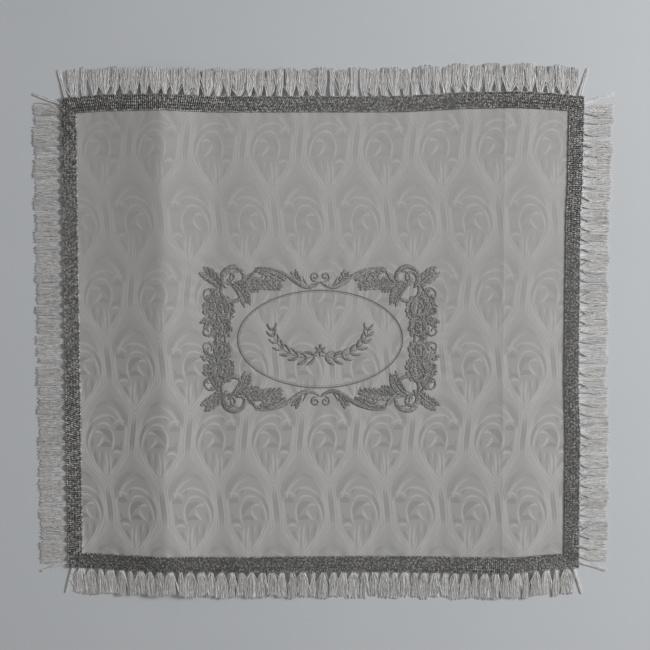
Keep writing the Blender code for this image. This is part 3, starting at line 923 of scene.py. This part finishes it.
def tuft_yarns(side, draw):
    """The yarns of the tufts: a lowest row side by side, and more on top that cross it by chance.

    A yarn's place across the root runs from -1 to 1. Its place across the tips is nearly the same
    for the lowest row, and strays for the others. Tips near each other reach nearly as far.
    """
    bounds, tips, opening, length = tuft_lines(side)
    count = len(length)
    middle = ((bounds[1:] + bounds[:-1]) / 2)[:, None]
    left, right = (tips[:-1] + opening[:-1] / 2)[:, None], (tips[1:] - opening[1:] / 2)[:, None]
    low_shape, top_shape = (count, LOW_YARNS), (count, TOP_YARNS)
    low = np.linspace(-1, 1, LOW_YARNS) + draw.normal(0, LOW_STRAY, low_shape)
    spot = draw.uniform(-1, 1, top_shape)
    strayed = spot * TOP_HOLD + draw.normal(0, TOP_STRAY, top_shape)
    strayed = np.clip(strayed, -MOST_STRAY, MOST_STRAY)
    root = middle + np.hstack((low, spot)) * (TUFT_ROOT / 2 - YARN_HALF_WIDTH)
    across = np.hstack((low, strayed))
    tip = (left + right) / 2 + across * ((right - left) / 2 - YARN_HALF_WIDTH)
    tooth = TOOTH * np.sin(across * TOOTH_TURNS + draw.uniform(0, 6, (count, 1))) - 0.5
    reach = length[:, None] + (tooth + draw.normal(0, TIP_SCATTER, across.shape)) * MM
    wave = np.hstack((draw.normal(0, LOW_WAVE, low_shape), draw.normal(0, TOP_WAVE, top_shape)))
    layer = np.hstack((np.zeros(low_shape), draw.uniform(*TOP_LAYERS, top_shape)))
    shade = draw.uniform(0, 1, across.shape) * 0.75 + draw.uniform(0, 0.25, (count, 1))
    spread = np.hstack((np.broadcast_to(right - left, low_shape), np.zeros(top_shape)))
    return [row.ravel() for row in (root, tip, reach, wave, layer, shade, spread)]


# %% The single locks and the loose yarns
PARTED = 2.6 * MM
STRAY_YARNS = 4
STRAY_ROOT = (2.4, 4.6)
STRAY_TIP = (0.5, 3.4)
STRAY_SHORT = (2, 12)
LOCK_YARNS = 14
LOCK_NARROWS = 0.8
LOCK_SCATTER = 0.2
LOCK_END = (-1.8, 0.6)
LOOSE_WAVE = 0.4
LOCK_LEAN = {"top": 8 * MM, "bottom": 9 * MM, "left": 11 * MM, "right": 10 * MM}


def loose_yarns(side, draw):
    """The single locks at both ends of a side, and the few yarns that lie across each parting."""
    bounds, tips, opening, length = tuft_lines(side)
    inset, lean = LOCK_INSET[side], LOCK_LEAN[side]
    signs = np.array((-1.0, 1.0))[:, None]
    offset = np.linspace(-1, 1, LOCK_YARNS) * (LOCK_WIDTH / 2 - YARN_HALF_WIDTH)
    lock_root = signs * inset + offset
    lock_tip = signs * (inset + lean) + offset * LOCK_NARROWS
    lock_tip = lock_tip + draw.normal(0, LOCK_SCATTER, lock_root.shape) * MM
    lock_reach = length.max() + draw.normal(*LOCK_END, lock_root.shape) * MM
    open_at = np.flatnonzero(opening > PARTED)
    strays = (len(open_at), STRAY_YARNS)
    stray_root = bounds[open_at][:, None] + draw.uniform(*STRAY_ROOT, strays) * MM
    stray_tip = tips[open_at][:, None] - draw.uniform(*STRAY_TIP, strays) * MM
    stray_reach = length.max() - draw.uniform(*STRAY_SHORT, strays) * MM
    pairs = ((lock_root, stray_root), (lock_tip, stray_tip), (lock_reach, stray_reach))
    rows = [np.append(lock, stray) for lock, stray in pairs]
    count = len(rows[0])
    wave = draw.normal(0, LOOSE_WAVE, count) * MM
    straight = np.full(count, -1.0)
    return [*rows, wave, draw.uniform(0, 2, count), draw.uniform(0.4, 1, count), straight]


# %% The threads of a whole side
YARN_STATIONS = 9
YARN_END = 0.985
YARN_HALF_HEIGHT = 0.20 * MM
YARN_SCALE = 1.2
YARN_OVERLAP = 0.56
YARN_THIN = 0.8
YARN_UNEVEN = 0.4
YARN_TAPER = 0.25
LOOSE_STOUT = 1.25
YARN_LAYER = 0.26 * MM
YARN_LOW = 0.24 * MM
YARN_TOP = 2.8
YARN_SINK = 0.6
YARN_BOUNCE = 0.12 * MM
FEW_TURNS, MORE_TURNS = 2.2, 3.2
ROOT_RISE = 0.9 * MM
ROOT_LAP = 2.5 * MM
FAN_SHARE = 0.48
FAN_POWER = 1.5
FAN_STRAIGHT = 0.15
HEADING_SECTION = np.array(((1, 1.3), (0.5, 1.3), (0, 1.3), (0, 0.1), (0.5, 0.1), (1, 0.1)))
HEADING_STATIONS = 120
HEADING_SHADE = 0.35


def yarn_part(side, draw):
    """Every yarn of a side: out of the heading, through the root, then fanning to its tip.

    A tuft opens in the first part of its length, 1 minus a power of what is left of that part, and
    then runs straight. A small sine wave, 0 at both ends, keeps a yarn from being stiff. Its spread
    is the width of its tuft's tips, 0 for a yarn on top, and below 0 for one that lies by itself.
    The last two stations are close together, so that the cut end's shading stays at the end.
    """
    both = zip(tuft_yarns(side, draw), loose_yarns(side, draw))
    root, tip, reach, wave, layer, shade, spread = (np.append(*pair)[:, None] for pair in both)
    edge, _ = side_sizes(side)
    heading_out = edge - CLOTH_INSET + GAP + HEADING_WIDTH
    start = heading_out - ROOT_LAP
    share = np.append(np.linspace(0, YARN_END, YARN_STATIONS - 1), 1.0)
    out = start + share * (edge + reach - start)
    fan = np.clip((out - heading_out) / (edge + reach - heading_out), 0, 1)
    turns = FEW_TURNS + MORE_TURNS * shade
    opened = 1 - (1 - np.minimum(fan / FAN_SHARE, 1)) ** FAN_POWER
    opened = np.where(spread < 0, fan, opened * (1 - FAN_STRAIGHT) + fan * FAN_STRAIGHT)
    bow = np.sin(np.pi * fan)
    along = root + (tip - root) * opened + wave * np.sin(turns * fan + 9 * shade) * bow
    lift = YARN_LOW + np.clip(layer, 0, YARN_TOP) * YARN_LAYER * (1 - YARN_SINK * fan**2)
    lift = lift + YARN_BOUNCE * np.sin(turns * fan * 1.3 + layer) * bow
    lift = lift + ROOT_RISE * (1 - fan) ** 2
    uneven = YARN_THIN + YARN_UNEVEN * np.modf(shade * 7)[0]
    width = YARN_HALF_WIDTH * uneven * (1 - YARN_TAPER * fan)
    width = np.where(spread < 0, width * LOOSE_STOUT, width)
    beside = (TUFT_ROOT + (spread - TUFT_ROOT) * opened) / (LOW_YARNS - 1)
    width = np.where(spread > 0, beside * YARN_OVERLAP, width)
    u, v = side_place(side, along, out)
    height = np.full(out.shape, YARN_HALF_HEIGHT)
    rings = carried(u, v, lift, width, height, round_section(THREAD_SIDES) * YARN_SCALE)
    return thread_part(rings, shade[:, 0])


def heading_part(side):
    """The heading tape: a thin flat band along the whole side, under the braid."""
    end = LOCK_INSET[side] + LOCK_WIDTH / 2
    along = np.linspace(-end, end, HEADING_STATIONS)[None, :, None]
    out = side_sizes(side)[0] - CLOTH_INSET + GAP + HEADING_SECTION[:, 0] * HEADING_WIDTH
    u, v = side_place(side, along, out)
    return thread_part(laid(u, v, HEADING_SECTION[:, 1] * MM), np.array([HEADING_SHADE]))


# %% [markdown]
# The yarn is untwisted silk-like floss. Its gloss runs in fine lines along each yarn, and these lines
# are painted into the colour as painted sheen, as well as into the relief. No two yarns are equally
# clean, so the shade differs from yarn to yarn. Near its root each yarn is painted lighter, as
# painted light.

# %% The fringe's finish
FRINGE_LEVEL = 0.94
FLOSS_LEVEL = 0.68
YARN_SHARE = 0.46
PATCH_SHARE = 0.5
PATCH_SCALE = 240.0
FIBRES_ROUND = 7
FIBRE_TWIST = 260
# How much the fibre lines lighten and darken the colour: painted sheen.
FIBRE_PAINTED_SHEEN = 0.06
FIBRE_RELIEF = 0.05 * MM
# Painted light: the yarn is painted lighter near its root, fading out by 14 mm along it.
ROOT_PAINTED_LIGHT = (2 * MM, 14 * MM, 0.14, 0.0)
FLOSS_ROUGH = 0.44
PATCH_ROUGH = 0.12


def fringe_finish():
    """Floss: fine fibres as a sine round and along the yarn, painted sheen on them, a shade by yarn
    and by patch, and painted light near the roots.
    """
    finish = Finish("white_fringe", Sheen_Weight=0.2, Sheen_Roughness=0.4,
                    Specular_IOR_Level=0.55)
    around, along = finish.split(finish.flat(1.0))
    fibres = (around * (2 * math.pi * FIBRES_ROUND) + along * FIBRE_TWIST).maths("SINE")
    patch = finish.noise(finish.place(), PATCH_SCALE)
    # The yarn's own shade, with painted sheen on the fibres and painted light near the roots.
    level = FLOSS_LEVEL + finish.shade() * YARN_SHARE + fibres * FIBRE_PAINTED_SHEEN
    level = level + (patch - 0.5) * PATCH_SHARE + along.fade(*ROOT_PAINTED_LIGHT)
    colour = finish.tinted(grey(FRINGE_LEVEL), level)
    return finish.surface(colour, FLOSS_ROUGH + patch * PATCH_ROUGH, fibres, FIBRE_RELIEF)


white_fringe = fringe_finish()


def make_fringe(side, draw):
    """One side's heading and yarns as one piece."""
    part = joined([heading_part(side), yarn_part(side, draw)])
    return new_piece("fringe_" + side + "_yarn", part, white_fringe, ["fringe_" + side])


fringes = [make_fringe(side, chance) for side in SIDE_NAMES]

# %% [markdown]
# ## The embroidery
#
# Satin stitch covers a shape with threads that run from edge to edge, over padding, so each shape
# is a small dome. Pushing up the cloth's own grid would blur shapes so small, so each is a stroke of
# its own. A scroll frame is drawn with three kinds of mark: spirals, stems that swell, and leaves
# with lobes on both sides of a rib. One quarter of the frame is set out in a few rows, in mm from
# the middle, and mirrored. X is the way out to the side, and Y is up.

# %% The frame's drawing
SPIRAL_COLUMNS = ("centre", "from_radius", "to_radius", "start", "turn", "width", "end_width")
SPIRAL_ROWS = (
    ((93.5, 66.0), 12.8, 11.4, -58, 268, 6.4, 5.4),
    ((97.5, 66.3), 8.2, 2.4, -60, 400, 4.6, 3.2),
    ((89.5, 66.0), 8.0, 7.0, -80, 190, 3.4, 2.2),
    ((95.0, 53.0), 12.2, 12.2, 30, -180, 4.8, 4.8),
    ((118.3, 48.8), 7.4, 4.8, -70, 300, 3.2, 2.2),
    ((105.5, 34.5), 12.0, 2.4, 110, -600, 4.4, 2.6),
    ((104.5, 13.0), 10.6, 2.4, 60, -560, 4.2, 2.6),
    ((122.5, 8.6), 6.0, 1.4, 130, 440, 3.2, 2.0),
    ((121.8, 30.0), 5.8, 1.4, 200, -420, 3.2, 2.0),
    ((56.0, 65.0), 8.6, 6.6, 200, -190, 3.2, 2.4),
    ((55.0, 65.2), 5.0, 2.2, 205, -330, 2.6, 1.6),
    ((5.4, 67.6), 5.2, 1.0, -110, 480, 3.2, 2.4),
)
SPIRALS = [dict(zip(SPIRAL_COLUMNS, row)) for row in SPIRAL_ROWS]
STEM_COLUMNS = ("through", "widths", "low")
STEM_ROWS = (
    (((71, 77.6), (57, 76.8), (46, 74), (36, 69), (27, 62.5), (15, 56.5), (6, 58.4), (0, 62.4)),
     (1.4, 3.2, 4.0, 5.0, 6.2, 6.4, 5.2, 4.0), False),
    (((122, 44), (114, 34), (111, 22), (114, 9), (121, 1.8)), (2.4, 3.6, 3.6, 3.4, 1.8), False),
    (((82, 60), (74, 68), (70, 77)), (5.4, 3.4, 0.8), False),
    (((13.5, 57.5), (16.5, 62), (19.4, 68.5)), (3.0, 2.4, 0.6), False),
    (((93, 30), (98, 22), (108, 23)), (1.8, 3.6, 1.6), False),
    (((112, 50), (110, 38), (108, 26), (108, 14), (113, -1)), (16, 31, 26, 27, 22), True),
    (((96, 57), (82, 58), (67, 60), (53, 58.5), (39, 56)), (10, 18, 15, 12, 5), True),
    (((71, 76), (58, 74), (46, 70.5), (36, 64)), (3, 8, 8, 8), True),
    (((84, 60), (76, 67), (69, 74)), (9, 10, 3), True),
    (((104, 61), (96, 60), (87, 60), (78, 57)), (5, 8, 11, 5), True),
    (((88, 57), (80, 52), (71, 55)), (8, 10, 5), True),
    (((106, 60), (105, 68), (98, 73)), (8, 9, 4), True),
    (((90, 60), (83, 50), (77, 40)), (10, 13, 4), True),
    (((106, 58), (115, 68), (124, 75)), (9, 11, 4), True),
    (((33, 67), (27, 66), (22, 62)), (6, 7, 4), True),
)
STEMS = [dict(zip(STEM_COLUMNS, row)) for row in STEM_ROWS]
LEAF_COLUMNS = ("root", "middle", "tip", "lobes", "left_reach", "right_reach")
LEAF_ROWS = (
    ((105, 57), (115, 68), (125.5, 73.5), 5, 7.0, 8.0),
    ((88, 59), (66, 62), (42, 56), 8, 6.0, 7.0),
    ((38, 63), (52, 74), (70, 76.5), 5, 1.6, 6.0),
    ((94, 60), (83, 55), (79, 38), 8, 8.0, 7.0),
    ((84, 59), (74, 52), (66, 53), 5, 3.0, 5.0),
    ((20, 60.5), (26, 66), (28.5, 73), 3, 5.0, 4.6),
    ((110, 56), (123, 42), (122.5, 27), 4, 5.5, 8.5),
    ((104, 47), (95, 36), (97, 24), 4, 8.0, 5.0),
    ((113, 41), (109, 32), (112, 24), 3, 7.0, 6.0),
    ((112, 28), (98, 15), (106, 3), 5, 8.0, 7.5),
    ((113, 22), (121, 20), (126, 16), 3, 5.5, 5.5),
    ((111, 18), (110, 10), (115, 4), 3, 5.5, 6.0),
)
LEAVES = [dict(zip(LEAF_COLUMNS, row)) for row in LEAF_ROWS]
print("a quarter of the frame:", len(SPIRALS), "spirals,", len(STEMS), "stems,", len(LEAVES), "leaves")

# %% Curves that swell and taper
SPIRAL_ENDS = (9, 14)
THINNEST_END = 0.05


def smooth_path(through, stations):
    """A smooth curve through listed points: between two of them, a cubic of the nearest four."""
    knots = np.asarray(through, float)
    ends = (2 * knots[:1] - knots[1:2], knots, 2 * knots[-1:] - knots[-2:-1])
    padded = np.concatenate(ends)
    at = np.linspace(0, len(knots) - 1, stations)
    first = np.minimum(at.astype(int), len(knots) - 2)
    t = (at - first).reshape(-1, *([1] * (knots.ndim - 1)))
    a, b, c, d = (padded[first + step] for step in range(4))
    return 0.5 * (2 * b + (c - a) * t + (2 * a - 5 * b + 4 * c - d) * t**2
                  + (3 * b - a - 3 * c + d) * t**3)


def tapered(count, point=0.08, power=0.6):
    """A width that is 1 in the middle and nearly 0 at both ends: a power of half a sine wave."""
    share = np.linspace(0, 1, count)
    return np.maximum(np.sin(np.pi * share), 0) ** power * (1 - point) + point


def spiral_path(row, stations):
    """A spiral: the radius and the direction both change evenly along it.

    Its ends taper as the square root of the distance to the end.
    """
    share = np.linspace(0, 1, stations)
    radius = row["from_radius"] + (row["to_radius"] - row["from_radius"]) * share
    turn = np.radians(row["start"] + row["turn"] * share)
    path = np.stack((row["centre"][0] + radius * np.cos(turn),
                     row["centre"][1] + radius * np.sin(turn)), axis=-1)
    width = row["width"] + (row["end_width"] - row["width"]) * share
    first, last = SPIRAL_ENDS
    ends = np.minimum(1, np.minimum(share * first, (1 - share) * last)) ** 0.5
    return path, width / 2 * np.maximum(ends, THINNEST_END)


# %% Leaves
FIRST_LOBE = 0.35
LOBE_SWELL = (0.26, 0.60)
LOBE_TURN = (70, -14)
LOBE_LENGTH = 1.5
LOBE_FILL = 0.50
LOBE_STOUT = 0.42
PADDING_SHARE = 0.42
PADDING_SHIFT = 0.30
RIB_HALF = (0.9, 0.25)


def ways(ahead):
    """Directions made 1 long, and the same turned a quarter to the left."""
    ahead = ahead / np.linalg.norm(ahead, axis=1, keepdims=True)
    return ahead, ahead[:, ::-1] * (-1, 1)


def on_rib(row, share):
    """Places on a leaf's rib, a parabola from root to tip, with the ways ahead and to the left."""
    root, middle, tip = (np.asarray(row[key], float) for key in ("root", "middle", "tip"))
    share = share[:, None]
    rib = (1 - share) ** 2 * root + 2 * share * (1 - share) * middle + share**2 * tip
    return rib, *ways((1 - share) * (middle - root) + share * (tip - middle))


def leaf_paths(row, stations):
    """A leaf's lobes: each leaves the rib at a wide angle and bends forward to lie along it.

    A lobe's direction turns evenly from 70 to -14 degrees off the rib's, and its steps add up to
    its path. Lobes are longest two fifths of the way along.
    """
    share = (np.arange(row["lobes"]) + FIRST_LOBE) / row["lobes"]
    rib, ahead, left = on_rib(row, share)
    spacing = math.dist(row["tip"], row["root"]) / row["lobes"]
    swell = np.sin(np.pi * (LOBE_SWELL[0] + LOBE_SWELL[1] * share))[:, None]
    turn = np.radians(np.linspace(*LOBE_TURN, stations))[None, :, None]
    paths, widths = [], []
    for sign, reach in ((1, row["left_reach"]), (-1, row["right_reach"])):
        step = reach * LOBE_LENGTH * swell[:, None] / (stations - 1)
        forward = np.cumsum(np.cos(turn), axis=1) * step
        sideways = np.cumsum(np.sin(turn), axis=1) * step
        paths.append(rib[:, None] + forward * ahead[:, None] + sign * sideways * left[:, None])
        fat = min(spacing * LOBE_FILL, reach * LOBE_STOUT)
        widths.append(fat * (0.75 + 0.25 * swell) * tapered(stations))
    return np.concatenate(paths), np.concatenate(widths)


def leaf_rib(row, stations):
    """The rib of a leaf, thick at the root and thin at the tip."""
    return on_rib(row, np.linspace(0, 1, stations))[0], np.linspace(*RIB_HALF, stations)


def leaf_padding(row, stations):
    """The padding under a leaf: a low, broad shape along its rib, less wide than its lobes."""
    path, _, left = on_rib(row, np.linspace(0, 1, stations))
    width = PADDING_SHARE * (row["left_reach"] + row["right_reach"])
    shift = PADDING_SHIFT * (row["left_reach"] - row["right_reach"])
    return path + shift * left * tapered(stations)[:, None], width * tapered(stations, 0.05)


# %% [markdown]
# A stroke's profile is a low arch with a flat underside. The lobes are the highest, the ribs stand
# a little over them, and the padding fills in below, so that no white shows between the lobes.

# %% The frame's stitches
STITCH_BASE = CLOTH_THICK - 0.10 * MM
STITCH_HEIGHT = 1.15 * MM
LOBE_HEIGHT = 0.92 * STITCH_HEIGHT
RIB_HEIGHT = 1.25 * STITCH_HEIGHT
PADDING_HEIGHT = 0.6 * MM
LOBE_STATIONS = 8
RIB_STATIONS = 14
STEM_STATIONS = 6
SPIRAL_STEP = 9
SPIRAL_LEAST = 16
LEAST_TALL = 0.45
TALL_REACH = 1.6
ARCH = np.array(((1.0, 0.0), (0.80, 0.62), (0.32, 0.96), (-0.32, 0.96), (-0.80, 0.62), (-1.0, 0.0)))
MIRRORS = ((1, 1), (-1, 1), (1, -1), (-1, -1))


def mirrored(paths):
    """The quarter's paths in all four quarters, round the middle of the embroidery, in metres."""
    return np.concatenate([paths * mirror for mirror in np.array(MIRRORS)]) * MM


def stitched(paths, half_widths, height, draw):
    """Strokes of satin stitch as threads: an arch carried along each path on the cloth's top.

    A narrow stroke is lower: its height grows evenly with its half width until it is full.
    """
    u = paths[..., 0] + MOTIF_CENTRE[0]
    v = paths[..., 1] + MOTIF_CENTRE[1]
    widths = half_widths * MM
    tall = height * np.minimum(1, LEAST_TALL + half_widths / TALL_REACH)
    lift = np.full(u.shape, STITCH_BASE)
    return thread_part(carried(u, v, lift, widths, tall, ARCH), draw.uniform(0, 1, len(u)))


def quarter_strokes(path, half_width, height, draw):
    """One quarter's strokes, or a single one, in all four quarters."""
    paths = mirrored(path.reshape(-1, *path.shape[-2:]))
    widths = np.tile(np.atleast_2d(half_width), (len(MIRRORS), 1))
    return stitched(paths, widths, height, draw)


def frame_parts(draw):
    """All the frame's strokes: spirals, stems, and each leaf's lobes, rib and padding."""
    parts = []
    for row in SPIRALS:
        stations = max(SPIRAL_LEAST, round(abs(row["turn"]) / SPIRAL_STEP))
        parts.append(quarter_strokes(*spiral_path(row, stations), STITCH_HEIGHT, draw))
    for row in STEMS:
        stations = STEM_STATIONS * len(row["through"])
        path = smooth_path(row["through"], stations)
        width = smooth_path(row["widths"], stations) / 2
        height = PADDING_HEIGHT if row["low"] else STITCH_HEIGHT
        parts.append(quarter_strokes(path, width * tapered(stations, 0.1, 0.25), height, draw))
    for row in LEAVES:
        parts.append(quarter_strokes(*leaf_paths(row, LOBE_STATIONS), LOBE_HEIGHT, draw))
        parts.append(quarter_strokes(*leaf_rib(row, RIB_STATIONS), RIB_HEIGHT, draw))
        parts.append(quarter_strokes(*leaf_padding(row, RIB_STATIONS), PADDING_HEIGHT, draw))
    return parts


def make_frame(draw):
    """The whole frame as one piece."""
    part = joined(frame_parts(draw))
    return new_piece("embroidered_frame_stitched", part, silver_thread,
                     ["embroidered_frame"])


embroidered_frame = make_frame(chance)

# %% [markdown]
# ## The oval and its spray
#
# Three lines of stitches go round inside the frame: a dark, firm one, a fine one just inside it and
# a faint one further out. The middle holds a plain spray of leaves, one branch to each side of a
# rosette of six petals, in the same stitches.

# %% The oval line and the spray
OVAL_HALF = (89.2, 52.8)
OVAL_LINES = ((0.0, 0.8, 1.0, -0.4), (-1.9, 0.34, 0.6, 0.6), (7.4, 0.36, 0.35, 1.4))
OVAL_STATIONS = 260
BRANCH = ((2, -18), (16, -20), (31, -16), (43, -8), (50, 3), (52, 13))
BRANCH_LEAVES = 8
BRANCH_LEAF = 14.0
LEAF_SHRINK = 0.35
LEAF_NARROW = 0.3
LEAF_AHEAD = (0.55, 0.35)
LEAF_ASIDE = (0.85, -0.32)
BRANCH_STATIONS = 40
SPRAY_STATIONS = 12
SPRAY_HALF = 2.5
SPRAY_HEIGHT = 1.1 * STITCH_HEIGHT
ROSETTE_HEIGHT = -12.0
PETALS = 6
PETAL_REACH = (1.0, 7.0)
PETAL_HALF = 1.9
PETAL_STATIONS = 9


def oval_part():
    """Closed threads round the oval: its cosine and sine, times the half width and half height."""
    turn = 2 * np.pi * np.arange(OVAL_STATIONS) / OVAL_STATIONS
    parts = []
    for outward, half_width, height, tone in OVAL_LINES:
        u = (OVAL_HALF[0] + outward) * np.cos(turn)[None] * MM
        v = (OVAL_HALF[1] + outward) * np.sin(turn)[None] * MM
        ring_u = np.pad(u, ((0, 0), (1, 1)), mode="wrap") + MOTIF_CENTRE[0]
        ring_v = np.pad(v, ((0, 0), (1, 1)), mode="wrap") + MOTIF_CENTRE[1]
        one = np.ones(ring_u.shape)
        rings = carried(ring_u, ring_v, one * STITCH_BASE, one * half_width * MM,
                        one * height * MM, ARCH)
        parts.append(thread_part(rings[:, 1:-1], np.array([tone]), closed=True))
    return joined(parts)


def spray_leaves(stations):
    """Pairs of leaves up a branch, the last ones smaller.

    Each bends away from the branch: its ways ahead and to the side are quadratics along its length.
    """
    share = (np.arange(BRANCH_LEAVES) + 0.4) / BRANCH_LEAVES
    fine = smooth_path(BRANCH, 200)
    at = (share * (len(fine) - 1)).astype(int)
    ahead, left = ways(fine[at + 1] - fine[at])
    way = np.linspace(0, 1, stations)[None, :, None]
    size = (BRANCH_LEAF * (1 - LEAF_SHRINK * share))[:, None, None]
    paths = []
    for sign in (1, -1):
        forward = size * (way * LEAF_AHEAD[0] + way**2 * LEAF_AHEAD[1])
        sideways = size * (way * LEAF_ASIDE[0] + way**2 * LEAF_ASIDE[1])
        paths.append(fine[at][:, None] + forward * ahead[:, None] + sign * sideways * left[:, None])
    widths = SPRAY_HALF * (1 - LEAF_NARROW * share)[:, None] * tapered(stations, 0.06, 0.75)
    return np.concatenate(paths), np.concatenate((widths, widths))


def make_spray(draw):
    """Two branches with their leaves, and petals that point away from the rosette's middle."""
    leaf, leaf_width = spray_leaves(SPRAY_STATIONS)
    branch = smooth_path(BRANCH, BRANCH_STATIONS)[None]
    branch_width = np.linspace(0.9, 0.4, BRANCH_STATIONS)[None]
    turn = np.radians(90 + 360 / PETALS * np.arange(PETALS))[:, None]
    reach = np.linspace(*PETAL_REACH, PETAL_STATIONS)
    petal = np.stack((reach * np.cos(turn), reach * np.sin(turn) + ROSETTE_HEIGHT), axis=-1)
    petal_width = np.tile(PETAL_HALF * tapered(PETAL_STATIONS, 0.2, 0.8), (PETALS, 1))
    parts = []
    for paths, widths in ((leaf, leaf_width), (branch, branch_width)):
        both = np.concatenate((paths, paths * (-1, 1))) * MM
        parts.append(stitched(both, np.concatenate((widths, widths)), SPRAY_HEIGHT, draw))
    parts.append(stitched(petal * MM, petal_width, SPRAY_HEIGHT, draw))
    return new_piece("leaf_spray_stitched", joined(parts), silver_thread)


embroidered_oval = new_piece("embroidered_oval_stitched", oval_part(),
                             silver_thread, ["embroidered_oval"])
leaf_spray = make_spray(chance)

# %% [markdown]
# ## The sheet of cloth
#
# The panel was cut as a plain rectangle, and every piece sewn to it hangs from the same empty, so it
# goes with it.

# %% [markdown]
# ## Table, light and camera
#
# One wide lamp stands low on the right, so that the folds show, and a pale room fills the shadows.
# The camera looks almost straight down from a little under a metre.

# %% The table
TABLE_COLOUR = (0.80, 0.83, 0.86)
TABLE_HALF = 6.0
TABLE_GAP = 0.2 * MM


def floor_finish():
    """A pale, dull surface with faint clouds."""
    finish = Finish("pale_table", Specular_IOR_Level=0.2)
    cloud = finish.noise(finish.place(), 6.0, 3.0)
    colour = finish.tinted(TABLE_COLOUR, 0.98 + (cloud - 0.5) * 0.06)
    return finish.surface(colour, 0.7 + cloud * 0.1)


def make_floor():
    """A square much wider than the view, just under the cloth."""
    mesh = bpy.data.meshes.new("pale_table")
    corners = [(x * TABLE_HALF, y * TABLE_HALF, 0) for x, y in ((-1, -1), (1, -1), (1, 1), (-1, 1))]
    mesh.from_pydata(corners, [], [(0, 1, 2, 3)])
    mesh.materials.append(floor_finish())
    floor = put_in("pale_table", mesh)
    floor.location.z = cad_low.z - TABLE_GAP


make_floor()

# %% The lamps and the room
KEY_ENERGY = 48.0
KEY_ELEVATION = 31.0
KEY_AZIMUTH = 16.0
KEY_DISTANCE = 2.8
KEY_SIZE = 0.8
ROOM_LEVEL = 0.20


def add_lamp():
    """A square lamp facing the middle. Azimuth 0 is the right, and 90 is the top of the photo."""
    lamp = bpy.data.lights.new("side_lamp", "AREA")
    lamp.size = KEY_SIZE
    lamp.energy = KEY_ENERGY
    stand = put_in("side_lamp", lamp)
    turned = Euler((0.0, math.radians(-KEY_ELEVATION), math.radians(KEY_AZIMUTH)))
    stand.location = turned.to_matrix() @ Vector((KEY_DISTANCE, 0.0, 0.0))
    stand.rotation_euler = (stand.location * -1).to_track_quat("-Z", "Y").to_euler()


def light_room():
    """An even pale light from all round, and colours shown as they are worked out."""
    room = bpy.data.worlds.new("pale_room")
    room.use_nodes = True
    back = room.node_tree.nodes["Background"]
    back.inputs["Color"].default_value = grey(1.0, 0.004)
    back.inputs["Strength"].default_value = ROOM_LEVEL
    bpy.context.scene.world = room
    bpy.context.scene.view_settings.view_transform = "Standard"


light_room()
add_lamp()
print("lamps:", [lamp.name for lamp in bpy.data.lights])

# %% The camera
VIEW_WIDTH = math.radians(40.0)
VIEW_TILT = math.radians(2.76)
VIEW_LEAN = math.radians(0.56)
VIEW_ROLL = math.radians(-0.09)
VIEW_DISTANCE = 0.9676
VIEW_TARGET = (2.8 * MM, 11.2 * MM, 2 * MM)


def add_camera():
    """The camera stands above its target, a little towards the top right, and looks back down."""
    lens = bpy.data.cameras.new("camera")
    lens.sensor_width = 36.0
    lens.lens = lens.sensor_width / 2 / math.tan(VIEW_WIDTH / 2)
    camera = put_in("camera", lens)
    turned = Euler((-VIEW_TILT, VIEW_LEAN, VIEW_ROLL))
    back = turned.to_matrix() @ Vector((0.0, 0.0, VIEW_DISTANCE))
    camera.location = Vector(VIEW_TARGET) + back
    camera.rotation_euler = turned
    bpy.context.scene.camera = camera
    print("camera height in mm:", round(camera.location.z / MM))


add_camera()
